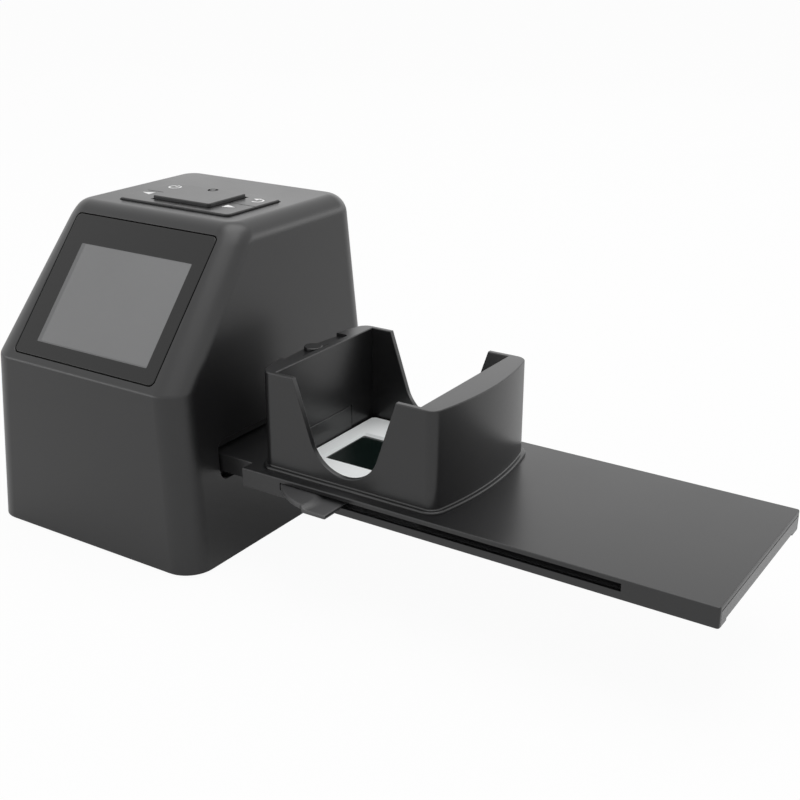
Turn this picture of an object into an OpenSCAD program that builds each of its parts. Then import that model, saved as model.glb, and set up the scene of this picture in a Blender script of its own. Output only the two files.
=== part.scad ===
// Film and slide scanner with a gravity slide feeder plugged into its film slot.
// All sizes are in millimetres. The scanner stands on its rubber feet on Z = 0,
// the feeder sticks out towards +X and the display faces -Y.

/* [Tower shell] */
// Width at the base
tower_w = 91.8; // [86:0.2:110]
// Depth at the base
tower_d = 108; // [102:1:124]
// Height of the shell above its lower rim
tower_h = 106; // [104:0.2:114]
// Height of the crease between the front and the display slope
front_h = 59.8; // [56:0.2:62]
// Angle of the display slope from horizontal
slope_deg = 50; // [48:0.2:54]
// Lean of the side walls from vertical
side_draft = 3.9; // [0:0.1:4.5]
// Lean of the rear wall from vertical
rear_draft = 2.8; // [0:0.2:4.4]
// Lean of the front wall from vertical
front_draft = 1.4; // [0:0.1:3]
// Wall thickness
wall = 2.4; // [1.8:0.1:3]
// Radius of the upright edges
corner_r = 9.5; // [7:0.5:12]
// Radius of the top edges
top_r = 6.5; // [5:0.5:9]
// Radius of the crease above the front wall
crease_r = 3; // [1:0.5:5]
// Outside diameter of the screw posts
post_d = 7; // [6:0.5:8]
// Height of the screw posts' upper end above the rim
post_top = 24; // [16:1:26]
// Distance of the post axes from the widest inner walls
post_inset = 7; // [6:0.5:9]

/* [Base] */
// Thickness of the base plate
base_t = 2.4; // [2:0.1:3]
// How far the base plate sits inside the rim
base_recess = 0.4; // [0:0.1:1]
// Diameter of the rubber feet
foot_d = 10; // [8:0.5:12]
// Height of the feet below the rim
foot_out = 1; // [0.6:0.1:2]
// Depth of the pockets that hold the feet
foot_pocket = 1; // [0.6:0.1:1.2]
// Distance of the foot axes from the side walls
foot_inset = 9.5; // [8:0.5:12]

/* [Screws] */
// Shank diameter of the housing screws
screw_d = 2.8; // [2.4:0.1:3]
// Head diameter of the housing screws
screw_head_d = 5.2; // [4.8:0.1:5.6]
// Head height of the housing screws
screw_head_h = 1.2; // [1:0.1:1.4]
// Length of the housing screws
screw_l = 12; // [8:1:14]
// Shank diameter of the small board screws
pin_d = 1.8; // [1.6:0.1:2]
// Head diameter of the small board screws
pin_head_d = 3.6; // [3.2:0.1:4]
// Head height of the small board screws
pin_head_h = 1; // [0.8:0.1:1.4]
// Depth to which the board screws hold in their posts
pin_bite = 2.4; // [2:0.1:2.6]

/* [Display] */
// Width of the display window
window_w = 62; // [56:1:64]
// Height of the display window along the slope
window_h = 52.4; // [50:0.4:54]
// Thickness of the display window
window_t = 1.5; // [1:0.1:1.6]
// Corner radius of the display window
window_r = 2; // [0.5:0.5:4]
// Distance of the window's lower edge from the crease
window_up = 3; // [2:0.2:3]
// Width of the picture area
lcd_w = 49; // [46:1:50]
// Height of the picture area
lcd_h = 36.7; // [34:0.5:38]
// Distance of the picture area above the window's lower edge
lcd_up = 5.1; // [4:0.5:7]
// Offset of the picture area to the right of the window's middle
lcd_right = 1.4; // [-1.6:0.2:1.6]
// Border of the panel's metal frame around the picture area
lcd_border = 3.4; // [2.5:0.1:3.6]
// Thickness of the panel
lcd_t = 3; // [2:0.2:3.4]
// Thickness of the panel's bracket
bracket_t = 1.4; // [1:0.1:2]

/* [Keys] */
// Width of the key group
pad_w = 48.8; // [44:0.2:50]
// Depth of the key group
pad_d = 28.2; // [28:0.2:32]
// Distance of the key group's middle from the front wall's foot
pad_y = 61.8; // [61:0.2:65]
// How far the key group's middle is right of the tower's middle
pad_right = 2.2; // [-2:0.2:2.4]
// Corner radius of the key group
pad_r = 2; // [1:0.5:4]
// Height of the outer keys above the top
pad_out = 0.8; // [0.6:0.1:1.6]
// Width of the middle key
ok_w = 25.4; // [22:0.2:27]
// Depth of the middle key
ok_d = 19.6; // [18:0.2:20.6]
// Height of the middle key above the outer keys
ok_out = 1.3; // [0.4:0.1:1.6]
// Travel of each key
key_travel = 0.6; // [0.3:0.1:0.8]
// Gap around each key
key_gap = 0.3; // [0.2:0.05:0.4]
// Width of the rims that hold the keys in
key_rim = 1.2; // [0.8:0.1:1.4]
// Thickness of the rims that hold the keys in
key_rim_t = 0.7; // [0.5:0.1:0.9]
// Height of a switch body above the key board
switch_h = 3; // [2.4:0.2:3.4]

/* [Film gate] */
// Distance from the tower's right wall foot to the gate's optical axis
gate_in = 40; // [38:0.5:46]
// Length of the guide rails along the film path
gate_l = 52; // [50:1:56]
// Margin of the wall openings beside the feeder's tongue
opening_side = 0.6; // [0.5:0.1:2]
// Margin of the wall openings below the feeder
opening_low = 3; // [2.5:0.5:8]
// Margin of the wall openings above the feeder
opening_high = 4; // [3:0.5:6]
// Corner radius of the wall openings
opening_r = 3; // [1:0.5:4]
// Thickness of the frames behind the wall openings
frame_t = 1.6; // [1.2:0.1:2]
// Thickness of the lower gate plate
gate_t = 2.4; // [2:0.1:3]
// Thickness of the upper gate plate
gate_top_t = 1.8; // [1.4:0.1:2.4]
// Width of the guide rails beside the film path
rail_w = 5; // [4.6:0.1:6]
// Length of the detent springs
detent_l = 9; // [6:0.5:10]
// Height of the detent springs
detent_h = 4; // [3:0.2:5]
// Width of the light opening along the film path
light_w = 37; // [36:0.5:40]
// Depth of the light opening
light_d = 25; // [24:0.5:28]

/* [Light and optics] */
// Wall of the light box
box_wall = 1.6; // [1.2:0.1:2]
// Margin of the light box around the light opening
box_margin = 4.5; // [3.5:0.5:5]
// Thickness of the diffuser
diffuser_t = 2; // [1.5:0.1:3]
// Thickness of every circuit board
board_t = 1.6; // [1:0.1:2]
// Height of the camera chamber above the gate
chamber_h = 31; // [28:1:33]
// Width of the square lens holder
holder_w = 16; // [15:0.5:18]
// Height of the lens holder
holder_h = 9; // [8:0.5:10]
// Diameter of the lens barrel
barrel_d = 14; // [12:0.5:14]
// Length of the lens barrel
barrel_l = 16; // [12:1:18]
// Side of the square sensor board
sensor_board_w = 28; // [24:1:30]

/* [Main board] */
// Width of the main board
main_w = 60; // [56:1:62]
// Depth of the main board
main_d = 28; // [26:1:29]
// Height of the main board's spacers above the base plate
main_up = 5; // [4:0.5:8]
// Depth of the memory card slot
card_d = 24; // [20:1:25]
// Width of the memory card slot
card_w = 28; // [26:0.5:29]
// Height of the memory card slot
card_h = 3.2; // [3:0.1:3.6]
// Depth of the data socket
usb_d = 9.2; // [8:0.2:12]
// Width of the data socket
usb_w = 7.7; // [7:0.1:9]
// Height of the data socket
usb_h = 4; // [3:0.1:4.5]
// Depth of the video jack
jack_d = 12; // [11:0.5:14]
// Length of the video jack's round nose
nose_l = 4; // [3:0.2:5]
// Bore of the video jack
jack_bore = 3.6; // [2.6:0.1:3.6]
// Width and height of the video jack
jack_w = 6; // [5.5:0.1:7]

/* [Feeder] */
// Reach of the feeder beyond the tower's right wall foot
feeder_reach = 165; // [160:1:190]
// Distance of the wide tray's left end from the tower's right wall foot
shoulder_x = 10.6; // [8:0.2:11]
// Width of the wide tray
tray_w = 66.7; // [64:0.5:70]
// Distance of the tray's front face from the tower's front foot
tray_y = 14.3; // [13:0.5:16]
// Height of the tray's underside above the rim
tray_z = 30.7; // [29:0.5:32]
// Height of the slide channel's floor above the tray's underside
floor_up = 2.4; // [2:0.1:3]
// Clear height of the slide channel
channel_h = 2.4; // [2.2:0.1:2.8]
// Thickness of the tray's cover
cover_t = 1.4; // [1.2:0.1:2]
// Thickness of the cover's side walls
skirt_t = 1.2; // [1:0.1:1.4]
// Width of the tongue that enters the tower
tongue_w = 54.4; // [54.2:0.1:55]
// Distance of the tongue's end inside the tower's left wall
tongue_back = 0.8; // [0.2:0.2:2]
// Thickness of the floor plate
floor_t = 1.6; // [1.2:0.1:1.9]
// Corner radius of the tray's free end
tray_r = 0.8; // [0.3:0.1:3]
// Height of the seam groove under the cover's edge at the free end
seam_h = 0.3; // [0.2:0.1:0.6]
// Rise of the end wall's underside between its two corners
end_rise = 0.7; // [0.3:0.1:1]

/* [Slide] */
// Side of the square slide mount
slide_w = 50; // [49:0.5:50]
// Thickness of the slide mount
slide_t = 1.9; // [1.4:0.1:2]
// Width of the mount's picture opening
picture_w = 36; // [34:0.5:38]
// Depth of the mount's picture opening
picture_d = 23.4; // [22:0.2:26]
// Thickness of the film
film_t = 0.2; // [0.15:0.05:0.3]

/* [Hopper] */
// Clear width and depth of the slide well
well_w = 51.6; // [51.4:0.1:52]
// Distance from the tower's right wall foot to the well's middle
well_x = 46.3; // [44:0.5:50]
// Height of the hopper above the tray
hopper_h = 31.9; // [26:1:40]
// Thickness of the hopper's walls
hopper_wall = 1.8; // [1.4:0.1:2.4]
// Thickness of the right side at its upright ends
right_side = 5.6; // [4.5:0.1:7]
// Thickness of the left side at its upright ends
left_side = 4.2; // [4:0.1:6]
// Extra thickness of both sides at their middle
side_bulge = 3.8; // [2:0.2:5]
// Width of the catch in the hopper's left side
catch_w = 30; // [20:1:34]
// Depth of the catch's recess
catch_t = 1.2; // [0.6:0.1:2]
// Diameter of the catch's stud
catch_stud_d = 6; // [4:0.5:7]
// Distance between the catch's two slots
catch_pitch = 11.1; // [9:0.5:16]
// Radius of the hopper's upright edges
hopper_r = 4; // [1:0.5:4.5]
// Width of the finger notch at the top
notch_w = 37; // [30:1:40]
// Radius of the finger notch's round end
notch_r = 12.6; // [9:0.2:13]
// Height of the finger notch's lowest point above the tray
notch_up = 3.8; // [2.5:0.2:6]
// Width of the foot rim round the hopper
lip_w = 1.4; // [1:0.1:1.8]
// Thickness of the foot rim round the hopper
lip_t = 1; // [0.8:0.1:1.6]

/* [Pusher] */
// Travel of the pusher
pusher_travel = 89; // [84:0.5:90]
// Thickness of the pusher plate
pusher_t = 1.6; // [1.2:0.1:1.7]
// Width of the thumb tab
tab_w = 9; // [8.5:0.1:12]
// Reach of the thumb tab in front of the tray
tab_out = 9; // [7:0.2:12]
// Thickness of the thumb tab
tab_t = 1.3; // [1.1:0.1:1.6]
// How far the thumb tab hangs below the pusher plate
tab_low = 0.4; // [0.2:0.1:0.8]
// Length of the curved flank left of the thumb tab
flank_l = 14.3; // [10:0.1:16]
// Radius of the flank's curve seen from above
flank_r = 24; // [20:0.1:60]
// Height of the flank above the pusher plate
flank_up = 0.2; // [0.1:0.05:0.25]

/* [Clearances] */
// Gap between parts that slide past each other
slide_gap = 0.3; // [0.2:0.05:0.4]
// Gap between the pusher and the channel floor
floor_gap = 0.3; // [0.2:0.05:0.35]
// Gap between parts that are pushed together
seat_gap = 0.15; // [0.1:0.05:0.2]
// Gap between a screw and its hole
screw_gap = 0.05; // [0.03:0.01:0.08]

/* [Hidden] */

eps = 0.01;
corner_steps = 8;
round_fn = 48;
tower_cx = -tower_w / 2;
crease_y = front_h * tan(front_draft);

// ---------- Shared shapes ----------

// Moves from the tower's corner frame to the part's own frame.
module placed() {
    translate([(tower_w - feeder_reach) / 2, -tower_d / 2, foot_out])
        children();
}

// Puts children on the display slope: X to the right, Y up the slope, Z outward.
module on_slope() {
    translate([tower_cx, crease_y, front_h])
        rotate([slope_deg, 0, 0])
            children();
}

// Points of an arc from angle a0 to a1.
function arc(cx, cy, r, a0, a1, steps) =
    [for (i = [0:steps]) let(a = a0 + (a1 - a0) * i / steps) [cx + r * cos(a), cy + r * sin(a)]];

// Points of a rectangle with round corners.
function round_rect(x0, x1, y0, y1, r, steps) = concat(
    arc(x1 - r, y0 + r, r, -90, 0, steps),
    arc(x1 - r, y1 - r, r, 0, 90, steps),
    arc(x0 + r, y1 - r, r, 90, 180, steps),
    arc(x0 + r, y0 + r, r, 180, 270, steps)
);

// A box between two opposite corners.
module box(low, high) {
    translate(low)
        cube(high - low);
}

// A plate with round corners, centred on X and Y.
module round_plate(w, d, t, r) {
    linear_extrude(t)
        polygon(round_rect(-w / 2, w / 2, -d / 2, d / 2, r, corner_steps));
}

// A round bar along Z.
module bar(x, y, z0, z1, d) {
    translate([x, y, z0])
        cylinder(h = z1 - z0, d = d, $fn = round_fn);
}

// A pan head screw: the head's top is at Z = 0 and the shank points down.
module screw(shank_d, shank_l, head_d, head_h) {
    translate([0, 0, -head_h])
        cylinder(h = head_h, d = head_d, $fn = round_fn);
    translate([0, 0, -head_h - shank_l])
        cylinder(h = shank_l, d = shank_d, $fn = round_fn);
}

// ---------- Shell form ----------
// The shell is a stack of level sections, each a rectangle with round corners.
// inset moves every surface inward, so that one form gives both skins of the wall.

function top_arc_r(inset) = max(top_r - inset, 0.6);
function crease_arc_r(inset) = max(crease_r - inset, 0.4);
function drop(z, inset) =
    let(up = z - (tower_h - top_r), r = top_arc_r(inset))
    up <= 0 ? 0 : r - sqrt(max(r * r - up * up, 0));
function half_w(z, inset) =
    tower_w / 2 - z * tan(side_draft) - inset / cos(side_draft) - drop(z, inset);
function rear_y(z, inset) =
    tower_d - z * tan(rear_draft) - inset / cos(rear_draft) - drop(z, inset);
function front_line(z, inset) = z * tan(front_draft) + inset / cos(front_draft);
function slope_line(z, inset) =
    crease_y + (z - front_h) / tan(slope_deg) + inset / sin(slope_deg);

// Height at which the front plane and the slope plane meet when both move inward.
function crease_z(inset) =
    (crease_y - front_h / tan(slope_deg) + inset / sin(slope_deg) - inset / cos(front_draft))
    / (tan(front_draft) - 1 / tan(slope_deg));

// Front edge of the section: front wall, crease arc, slope, then the top arc.
function front_y(z, inset) =
    let(
        cr = crease_arc_r(inset),
        cz = crease_z(inset + cr),
        tr = top_arc_r(inset),
        tz = tower_h - inset - tr
    )
    z < cz + cr * sin(front_draft) ? front_line(z, inset)
    : z < cz + cr * cos(slope_deg)
        ? front_line(cz, inset + cr) - sqrt(cr * cr - pow(z - cz, 2))
    : z < tz + tr * cos(slope_deg) ? slope_line(z, inset)
    : slope_line(tz, inset + tr) - sqrt(max(tr * tr - pow(z - tz, 2), 0));

function section(z, inset) =
    let(w = half_w(z, inset), r = max(corner_r - inset - drop(z, inset), 0.5))
    round_rect(tower_cx - w, tower_cx + w, front_y(z, inset), rear_y(z, inset), r, corner_steps);

// Levels at which the sections are taken.
function levels(inset, low) =
    let(
        cr = crease_arc_r(inset),
        cz = crease_z(inset + cr),
        tr = top_arc_r(inset),
        tz = tower_h - inset - tr,
        turn = 90 - slope_deg
    )
    concat(
        [low],
        [for (i = [0:3]) cz + cr * sin(front_draft + (turn - front_draft) * i / 3)],
        [for (i = [0:3]) tz + tr * sin(turn * i / 3)],
        [for (i = [1:4]) tz + tr * sin(turn + slope_deg * i / 4)]
    );

module shell_form(inset, low) {
    heights = levels(inset, low);
    rings = [for (z = heights) section(z, inset)];
    last = len(heights) - 1;
    n = len(rings[0]);
    polyhedron(
        points = [for (i = [0:last]) for (p = rings[i]) [p[0], p[1], heights[i]]],
        faces = concat(
            [[for (j = [0:n - 1]) j], [for (j = [0:n - 1]) last * n + n - 1 - j]],
            [for (i = [0:last - 1]) for (j = [0:n - 1])
                [i * n + j, i * n + n + j, i * n + n + (j + 1) % n]],
            [for (i = [0:last - 1]) for (j = [0:n - 1])
                [i * n + j, i * n + n + (j + 1) % n, i * n + (j + 1) % n]]
        )
    );
}

// ---------- Places shared by several parts ----------

base_z0 = base_recess;
base_z1 = base_z0 + base_t;
post_x = half_w(0, wall) - post_inset;
post_y0 = front_line(0, wall) + post_inset;
post_y1 = rear_y(0, wall) - post_inset;
post_spots = [for (sx = [-1, 1], y = [post_y0, post_y1]) [tower_cx + sx * post_x, y]];

// Feeder levels and edges
floor_z = tray_z + floor_up;
channel_z1 = floor_z + channel_h;
tray_top = channel_z1 + cover_t;
tray_y1 = tray_y + tray_w;
well_y = tray_y + skirt_t + slide_gap + 4.7 + well_w / 2;
well_x0 = well_x - well_w / 2;
well_x1 = well_x + well_w / 2;
well_y0 = well_y - well_w / 2;
well_y1 = well_y + well_w / 2;
tongue_y0 = well_y - tongue_w / 2;
tongue_y1 = well_y + tongue_w / 2;
tongue_x = -tower_w + tray_z * tan(side_draft) + tongue_back;

// Film gate
gate_x = -gate_in;
gate_x0 = gate_x - gate_l / 2;
gate_x1 = gate_x + gate_l / 2;
gate_y0 = tongue_y0 - slide_gap - rail_w;
gate_y1 = tongue_y1 + slide_gap + rail_w;
gate_z1 = tray_z - slide_gap;
gate_z0 = gate_z1 - gate_t;
rail_z1 = tray_top + slide_gap;
gate_top_z = rail_z1 + gate_top_t;
gate_screw_y = rail_w / 2;
gate_screw_x = 3;
leg_d = 6;
leg_y = light_d / 2 + box_margin + leg_d / 2 + 2.5;
leg_x = gate_l / 2 - leg_d;
leg_spots = [for (sx = [-1, 1], sy = [-1, 1]) [gate_x + sx * leg_x, well_y + sy * leg_y]];
opening_z0 = tray_z - opening_low;
opening_z1 = tray_top + opening_high;
frame_x = half_w(opening_z1 + 2, wall) - slide_gap;

// Light box and camera
box_w = light_w + 2 * box_margin;
box_d = light_d + 2 * box_margin;
chamber_z1 = gate_top_z + chamber_h;
holder_z1 = chamber_z1 + holder_h;
barrel_z1 = holder_z1 - 2;
barrel_z0 = barrel_z1 - barrel_l;

// Main board and sockets
main_z0 = base_z1 + main_up;
main_z1 = main_z0 + board_t;
main_y1 = rear_y(main_z1, wall) - 0.8;
main_y0 = main_y1 - main_d;
main_x0 = tower_cx - main_w / 2;
socket_y1 = rear_y(main_z1, 0) - 1;
usb_x = main_x0 + 7;
jack_x = usb_x + usb_w / 2 + jack_w / 2 + 5;
card_x = main_x0 + main_w - card_w / 2 - 3;
main_screw_spots = [
    [main_x0 + 4, main_y0 + 3.5], [main_x0 + main_w - 4, main_y0 + 3.5], [jack_x + 7, main_y1 - 3]
];

// Keys and key board
pad_cx = tower_cx + pad_right;
pad_z = tower_h + pad_out;
key_z0 = tower_h - wall - slide_gap - key_rim_t;
ok_rim_z0 = key_z0 - key_travel - slide_gap - key_rim_t;
plunger_z1 = ok_rim_z0 - key_travel - slide_gap;
plunger_h = 0.5;
key_board_z1 = plunger_z1 - plunger_h - switch_h;
key_board_w = pad_w + 2 * key_rim + 15;
key_board_d = pad_d + 4;
key_boss_x = key_board_w / 2 - 3;
key_boss_y = key_board_d / 2 - 3;
key_boss_d = 4.6;
outer_key_x = (pad_w + ok_w) / 4;
outer_key_y = (pad_d + ok_d) / 4;

// Display
window_mid = window_up + window_h / 2;
lcd_mid = window_up + lcd_up + lcd_h / 2;
panel_w = lcd_w + 2 * lcd_border;
panel_h = lcd_h + 2 * lcd_border;
panel_z1 = -wall;
panel_z0 = panel_z1 - lcd_t;
lcd_boss_d = 4.4;
lcd_boss_x = panel_w / 2 + lcd_boss_d / 2 + 0.5;
lcd_boss_y = panel_h / 2 - 5;
lcd_boss_spots = [for (sx = [-1, 1], sy = [-1, 1])
    [lcd_right + sx * lcd_boss_x, lcd_mid + sy * lcd_boss_y]];

// ---------- Tower ----------

// The openings for film in both side walls.
module film_openings() {
    translate([-tower_w - 1, 0, 0])
        rotate([90, 0, 90])
            linear_extrude(tower_w + 2)
                polygon(round_rect(tongue_y0 - opening_side, tongue_y1 + opening_side,
                    opening_z0, opening_z1, opening_r, corner_steps));
}

module socket_cuts() {
    gap = 0.3;
    low = main_z1;
    box([usb_x - usb_w / 2 - gap, main_y1 - 1, low - gap],
        [usb_x + usb_w / 2 + gap, tower_d + 1, low + usb_h + gap]);
    box([card_x - card_w / 2 - gap, main_y1 - 1, low - gap],
        [card_x + card_w / 2 + gap, tower_d + 1, low + card_h + gap]);
    translate([jack_x, main_y1 - 1, low + jack_w / 2])
        rotate([-90, 0, 0])
            cylinder(h = tower_d, d = jack_w + 2 * gap, $fn = round_fn);
}

module main_housing() {
    color("#2b2b2d") placed() difference() {
        union() {
            difference() {
                shell_form(0, eps);
                shell_form(wall, -1);
                film_openings();
                socket_cuts();
                on_slope() translate([0, window_mid, -window_t]) {
                    round_plate(window_w + 2 * seat_gap, window_h + 2 * seat_gap, window_t + 4, window_r);
                    translate([lcd_right, lcd_mid - window_mid, -wall])
                        round_plate(lcd_w + 4, lcd_h + 4, wall + 1, 1);
                }
                translate([pad_cx, pad_y, tower_h - wall - 1])
                    round_plate(pad_w + 2 * key_gap, pad_d + 2 * key_gap, wall + 4, pad_r + key_gap);
            }
            // Posts for the base screws, each tied to the side wall by a rib.
            for (sx = [-1, 1], y = [post_y0, post_y1]) {
                bar(tower_cx + sx * post_x, y, base_z1, post_top, post_d);
                translate([tower_cx + sx * (post_x + post_inset / 2 - 0.6), y, (post_top + base_z1) / 2])
                    cube([post_inset + 0.4, 1.6, post_top - base_z1 - eps], center = true);
            }
            // Bosses under the top for the key board.
            for (sx = [-1, 1], sy = [-1, 1])
                bar(pad_cx + sx * key_boss_x, pad_y + sy * key_boss_y, key_board_z1,
                    tower_h - wall / 2, key_boss_d);
            // Bosses behind the slope for the panel bracket.
            on_slope() for (p = lcd_boss_spots)
                bar(p[0], p[1], panel_z0, -wall * 0.75, lcd_boss_d);
        }
        for (p = post_spots)
            bar(p[0], p[1], base_z1 - 1, base_z1 + screw_l, screw_d + 2 * screw_gap);
        for (sx = [-1, 1], sy = [-1, 1])
            bar(pad_cx + sx * key_boss_x, pad_y + sy * key_boss_y, key_board_z1 - 1,
                key_board_z1 + pin_bite + 0.2, pin_d + 2 * screw_gap);
        on_slope() for (p = lcd_boss_spots)
            bar(p[0], p[1], panel_z0 - 1, panel_z0 + pin_bite + 0.2, pin_d + 2 * screw_gap);
    }
}

foot_x = half_w(0, 0) - foot_inset;
foot_y0 = foot_inset + 12;
foot_y1 = tower_d - foot_inset - 12;
foot_spots = [for (sx = [-1, 1], y = [foot_y0, foot_y1]) [tower_cx + sx * foot_x, y]];

module base_plate() {
    w = half_w(base_z1, wall) - seat_gap;
    y0 = front_line(base_z1, wall) + seat_gap;
    y1 = rear_y(base_z1, wall) - seat_gap;
    color("#252527") placed() difference() {
        union() {
            translate([0, 0, base_z0])
                linear_extrude(base_t)
                    polygon(round_rect(tower_cx - w, tower_cx + w, y0, y1, corner_r - wall, corner_steps));
            for (p = main_screw_spots)
                bar(p[0], p[1], base_z1 - eps, main_z0, 5);
        }
        for (p = concat(post_spots, leg_spots)) {
            bar(p[0], p[1], -1, base_z1 + 1, screw_d + 2 * screw_gap);
            bar(p[0], p[1], -1, base_z0 + screw_head_h, screw_head_d + 0.4);
        }
        for (p = foot_spots)
            bar(p[0], p[1], -1, base_z0 + foot_pocket, foot_d + 2 * screw_gap);
        for (p = main_screw_spots)
            bar(p[0], p[1], main_z0 - pin_bite - 0.2, main_z0 + 1, pin_d + 2 * screw_gap);
    }
}

module rubber_feet() {
    color("#1a1a1a") placed()
        for (p = foot_spots)
            bar(p[0], p[1], -foot_out, base_z0 + foot_pocket, foot_d);
}

module base_screws() {
    color("#8b8d90") placed()
        for (p = concat(post_spots, leg_spots))
            translate([p[0], p[1], base_z0])
                mirror([0, 0, 1])
                    screw(screw_d, screw_l, screw_head_d, screw_head_h);
}

// ---------- Display ----------

module display_window() {
    color("#1c1d1f") placed() on_slope()
        translate([0, window_mid, -window_t])
            round_plate(window_w, window_h, window_t, window_r - seat_gap);
}

module lcd_panel() {
    color("#77797b") placed() on_slope()
        translate([lcd_right, lcd_mid, panel_z0]) {
            round_plate(panel_w, panel_h, lcd_t, 0.8);
            translate([0, 0, lcd_t - eps])
                round_plate(lcd_w + 2, lcd_h + 2, wall - window_t - 0.1, 0.5);
        }
}

module lcd_bracket() {
    plate_w = 2 * lcd_boss_x + lcd_boss_d;
    color("#3a3b3d") placed() on_slope() difference() {
        translate([lcd_right, lcd_mid, panel_z0 - bracket_t])
            round_plate(plate_w, panel_h, bracket_t, 2);
        translate([lcd_right, lcd_mid, panel_z0 - bracket_t - 1])
            round_plate(lcd_w - 8, lcd_h - 8, bracket_t + 2, 3);
        for (p = lcd_boss_spots)
            bar(p[0], p[1], panel_z0 - bracket_t - 1, panel_z0 + 1, pin_d + 2 * screw_gap);
    }
}

module lcd_screws() {
    color("#8b8d90") placed() on_slope()
        for (p = lcd_boss_spots)
            translate([p[0], p[1], panel_z0 - bracket_t - pin_head_h])
                mirror([0, 0, 1])
                    screw(pin_d, bracket_t + pin_bite, pin_head_d, pin_head_h);
}

// ---------- Keys ----------

module pad_outline(grow) {
    polygon(round_rect(-pad_w / 2 - grow, pad_w / 2 + grow, -pad_d / 2 - grow, pad_d / 2 + grow,
        pad_r + grow, corner_steps));
}

module ok_outline(grow) {
    polygon(round_rect(-ok_w / 2 - grow, ok_w / 2 + grow, -ok_d / 2 - grow, ok_d / 2 + grow,
        1 + grow, corner_steps));
}

// One quarter of the key group, in the direction of sx and sy.
module quarter(sx, sy, grow) {
    intersection() {
        pad_outline(grow);
        translate([sx * (pad_w / 2 + key_gap / 2), sy * (pad_d / 2 + key_gap / 2)])
            square([pad_w, pad_d], center = true);
    }
}

// An outer key: an angle round the middle key, with a rim under the top on its outer sides.
module corner_key(sx, sy) {
    translate([pad_cx, pad_y, 0]) {
        translate([0, 0, key_z0])
            linear_extrude(pad_z - key_z0)
                difference() {
                    quarter(sx, sy, 0);
                    ok_outline(key_gap);
                }
        translate([0, 0, key_z0])
            linear_extrude(key_rim_t)
                difference() {
                    quarter(sx, sy, key_rim);
                    ok_outline(key_gap);
                }
        bar(sx * outer_key_x, sy * outer_key_y, ok_rim_z0, key_z0 + eps, 3.4);
    }
}

module ok_key() {
    color("#38393b") placed() translate([pad_cx, pad_y, 0]) {
        translate([0, 0, ok_rim_z0])
            linear_extrude(pad_z + ok_out - ok_rim_z0)
                ok_outline(0);
        translate([0, 0, ok_rim_z0])
            linear_extrude(key_rim_t)
                square([ok_w + 2 * key_rim, ok_d - 6], center = true);
    }
}

module left_key() {
    color("#38393b") placed() corner_key(-1, -1);
}

module right_key() {
    color("#38393b") placed() corner_key(1, -1);
}

module power_key() {
    color("#38393b") placed() corner_key(-1, 1);
}

module return_key() {
    color("#38393b") placed() corner_key(1, 1);
}

module key_board() {
    color("#1f5a3a") placed() difference() {
        translate([pad_cx, pad_y, key_board_z1 - board_t])
            round_plate(key_board_w, key_board_d, board_t, 1.5);
        for (sx = [-1, 1], sy = [-1, 1])
            bar(pad_cx + sx * key_boss_x, pad_y + sy * key_boss_y, key_board_z1 - board_t - 1,
                key_board_z1 + 1, pin_d + 2 * screw_gap);
    }
}

module key_board_screws() {
    color("#8b8d90") placed()
        for (sx = [-1, 1], sy = [-1, 1])
            translate([pad_cx + sx * key_boss_x, pad_y + sy * key_boss_y, key_board_z1 - board_t - pin_head_h])
                mirror([0, 0, 1])
                    screw(pin_d, board_t + pin_bite, pin_head_d, pin_head_h);
}

module tact_switches() {
    spots = concat([[0, 0]], [for (sx = [-1, 1], sy = [-1, 1]) [sx * outer_key_x, sy * outer_key_y]]);
    color("#202020") placed() translate([pad_cx, pad_y, key_board_z1])
        for (p = spots) translate([p[0], p[1], 0]) {
            translate([0, 0, switch_h / 2])
                cube([6, 6, switch_h], center = true);
            cylinder(h = switch_h + plunger_h, d = 3, $fn = round_fn);
        }
}

// ---------- Main board and sockets ----------

module main_board() {
    color("#1f5a3a") placed() difference() {
        box([main_x0, main_y0, main_z0], [main_x0 + main_w, main_y1, main_z1]);
        for (p = main_screw_spots)
            bar(p[0], p[1], main_z0 - 1, main_z1 + 1, pin_d + 2 * screw_gap);
    }
}

module main_board_screws() {
    color("#8b8d90") placed()
        for (p = main_screw_spots)
            translate([p[0], p[1], main_z1 + pin_head_h])
                screw(pin_d, board_t + pin_bite, pin_head_d, pin_head_h);
}

// A socket shell with a mouth towards the rear.
module socket_shell(w, d, h, mouth_w, mouth_h, mouth_d) {
    difference() {
        box([-w / 2, -d, 0], [w / 2, 0, h]);
        box([-mouth_w / 2, -mouth_d, (h - mouth_h) / 2], [mouth_w / 2, 1, (h + mouth_h) / 2]);
    }
}

module usb_socket() {
    color("#b4b7bb") placed() translate([usb_x, socket_y1, main_z1])
        difference() {
            socket_shell(usb_w, usb_d, usb_h, usb_w - 0.8, usb_h - 0.8, usb_d * 0.65);
            // The shell is narrower at its foot.
            for (s = [-1, 1])
                translate([s * usb_w / 2, -5, 0])
                    rotate([0, 45, 0])
                        cube([1.1, 20, 1.1], center = true);
        }
}

module video_jack() {
    color("#161616") placed() translate([jack_x, socket_y1, main_z1])
        difference() {
            union() {
                box([-jack_w / 2, -jack_d, 0], [jack_w / 2, 0.6 - nose_l, jack_w - 1]);
                translate([0, 0, jack_w / 2])
                    rotate([90, 0, 0])
                        cylinder(h = nose_l, d = jack_w, $fn = round_fn);
            }
            translate([0, 1, jack_w / 2])
                rotate([90, 0, 0])
                    cylinder(h = jack_d - 1, d = jack_bore, $fn = round_fn);
        }
}

module card_slot() {
    color("#b4b7bb") placed() translate([card_x, socket_y1, main_z1])
        socket_shell(card_w, card_d, card_h, card_w - 3.4, card_h - 0.9, card_d - 2);
}

// ---------- Film gate, light and camera ----------

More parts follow.
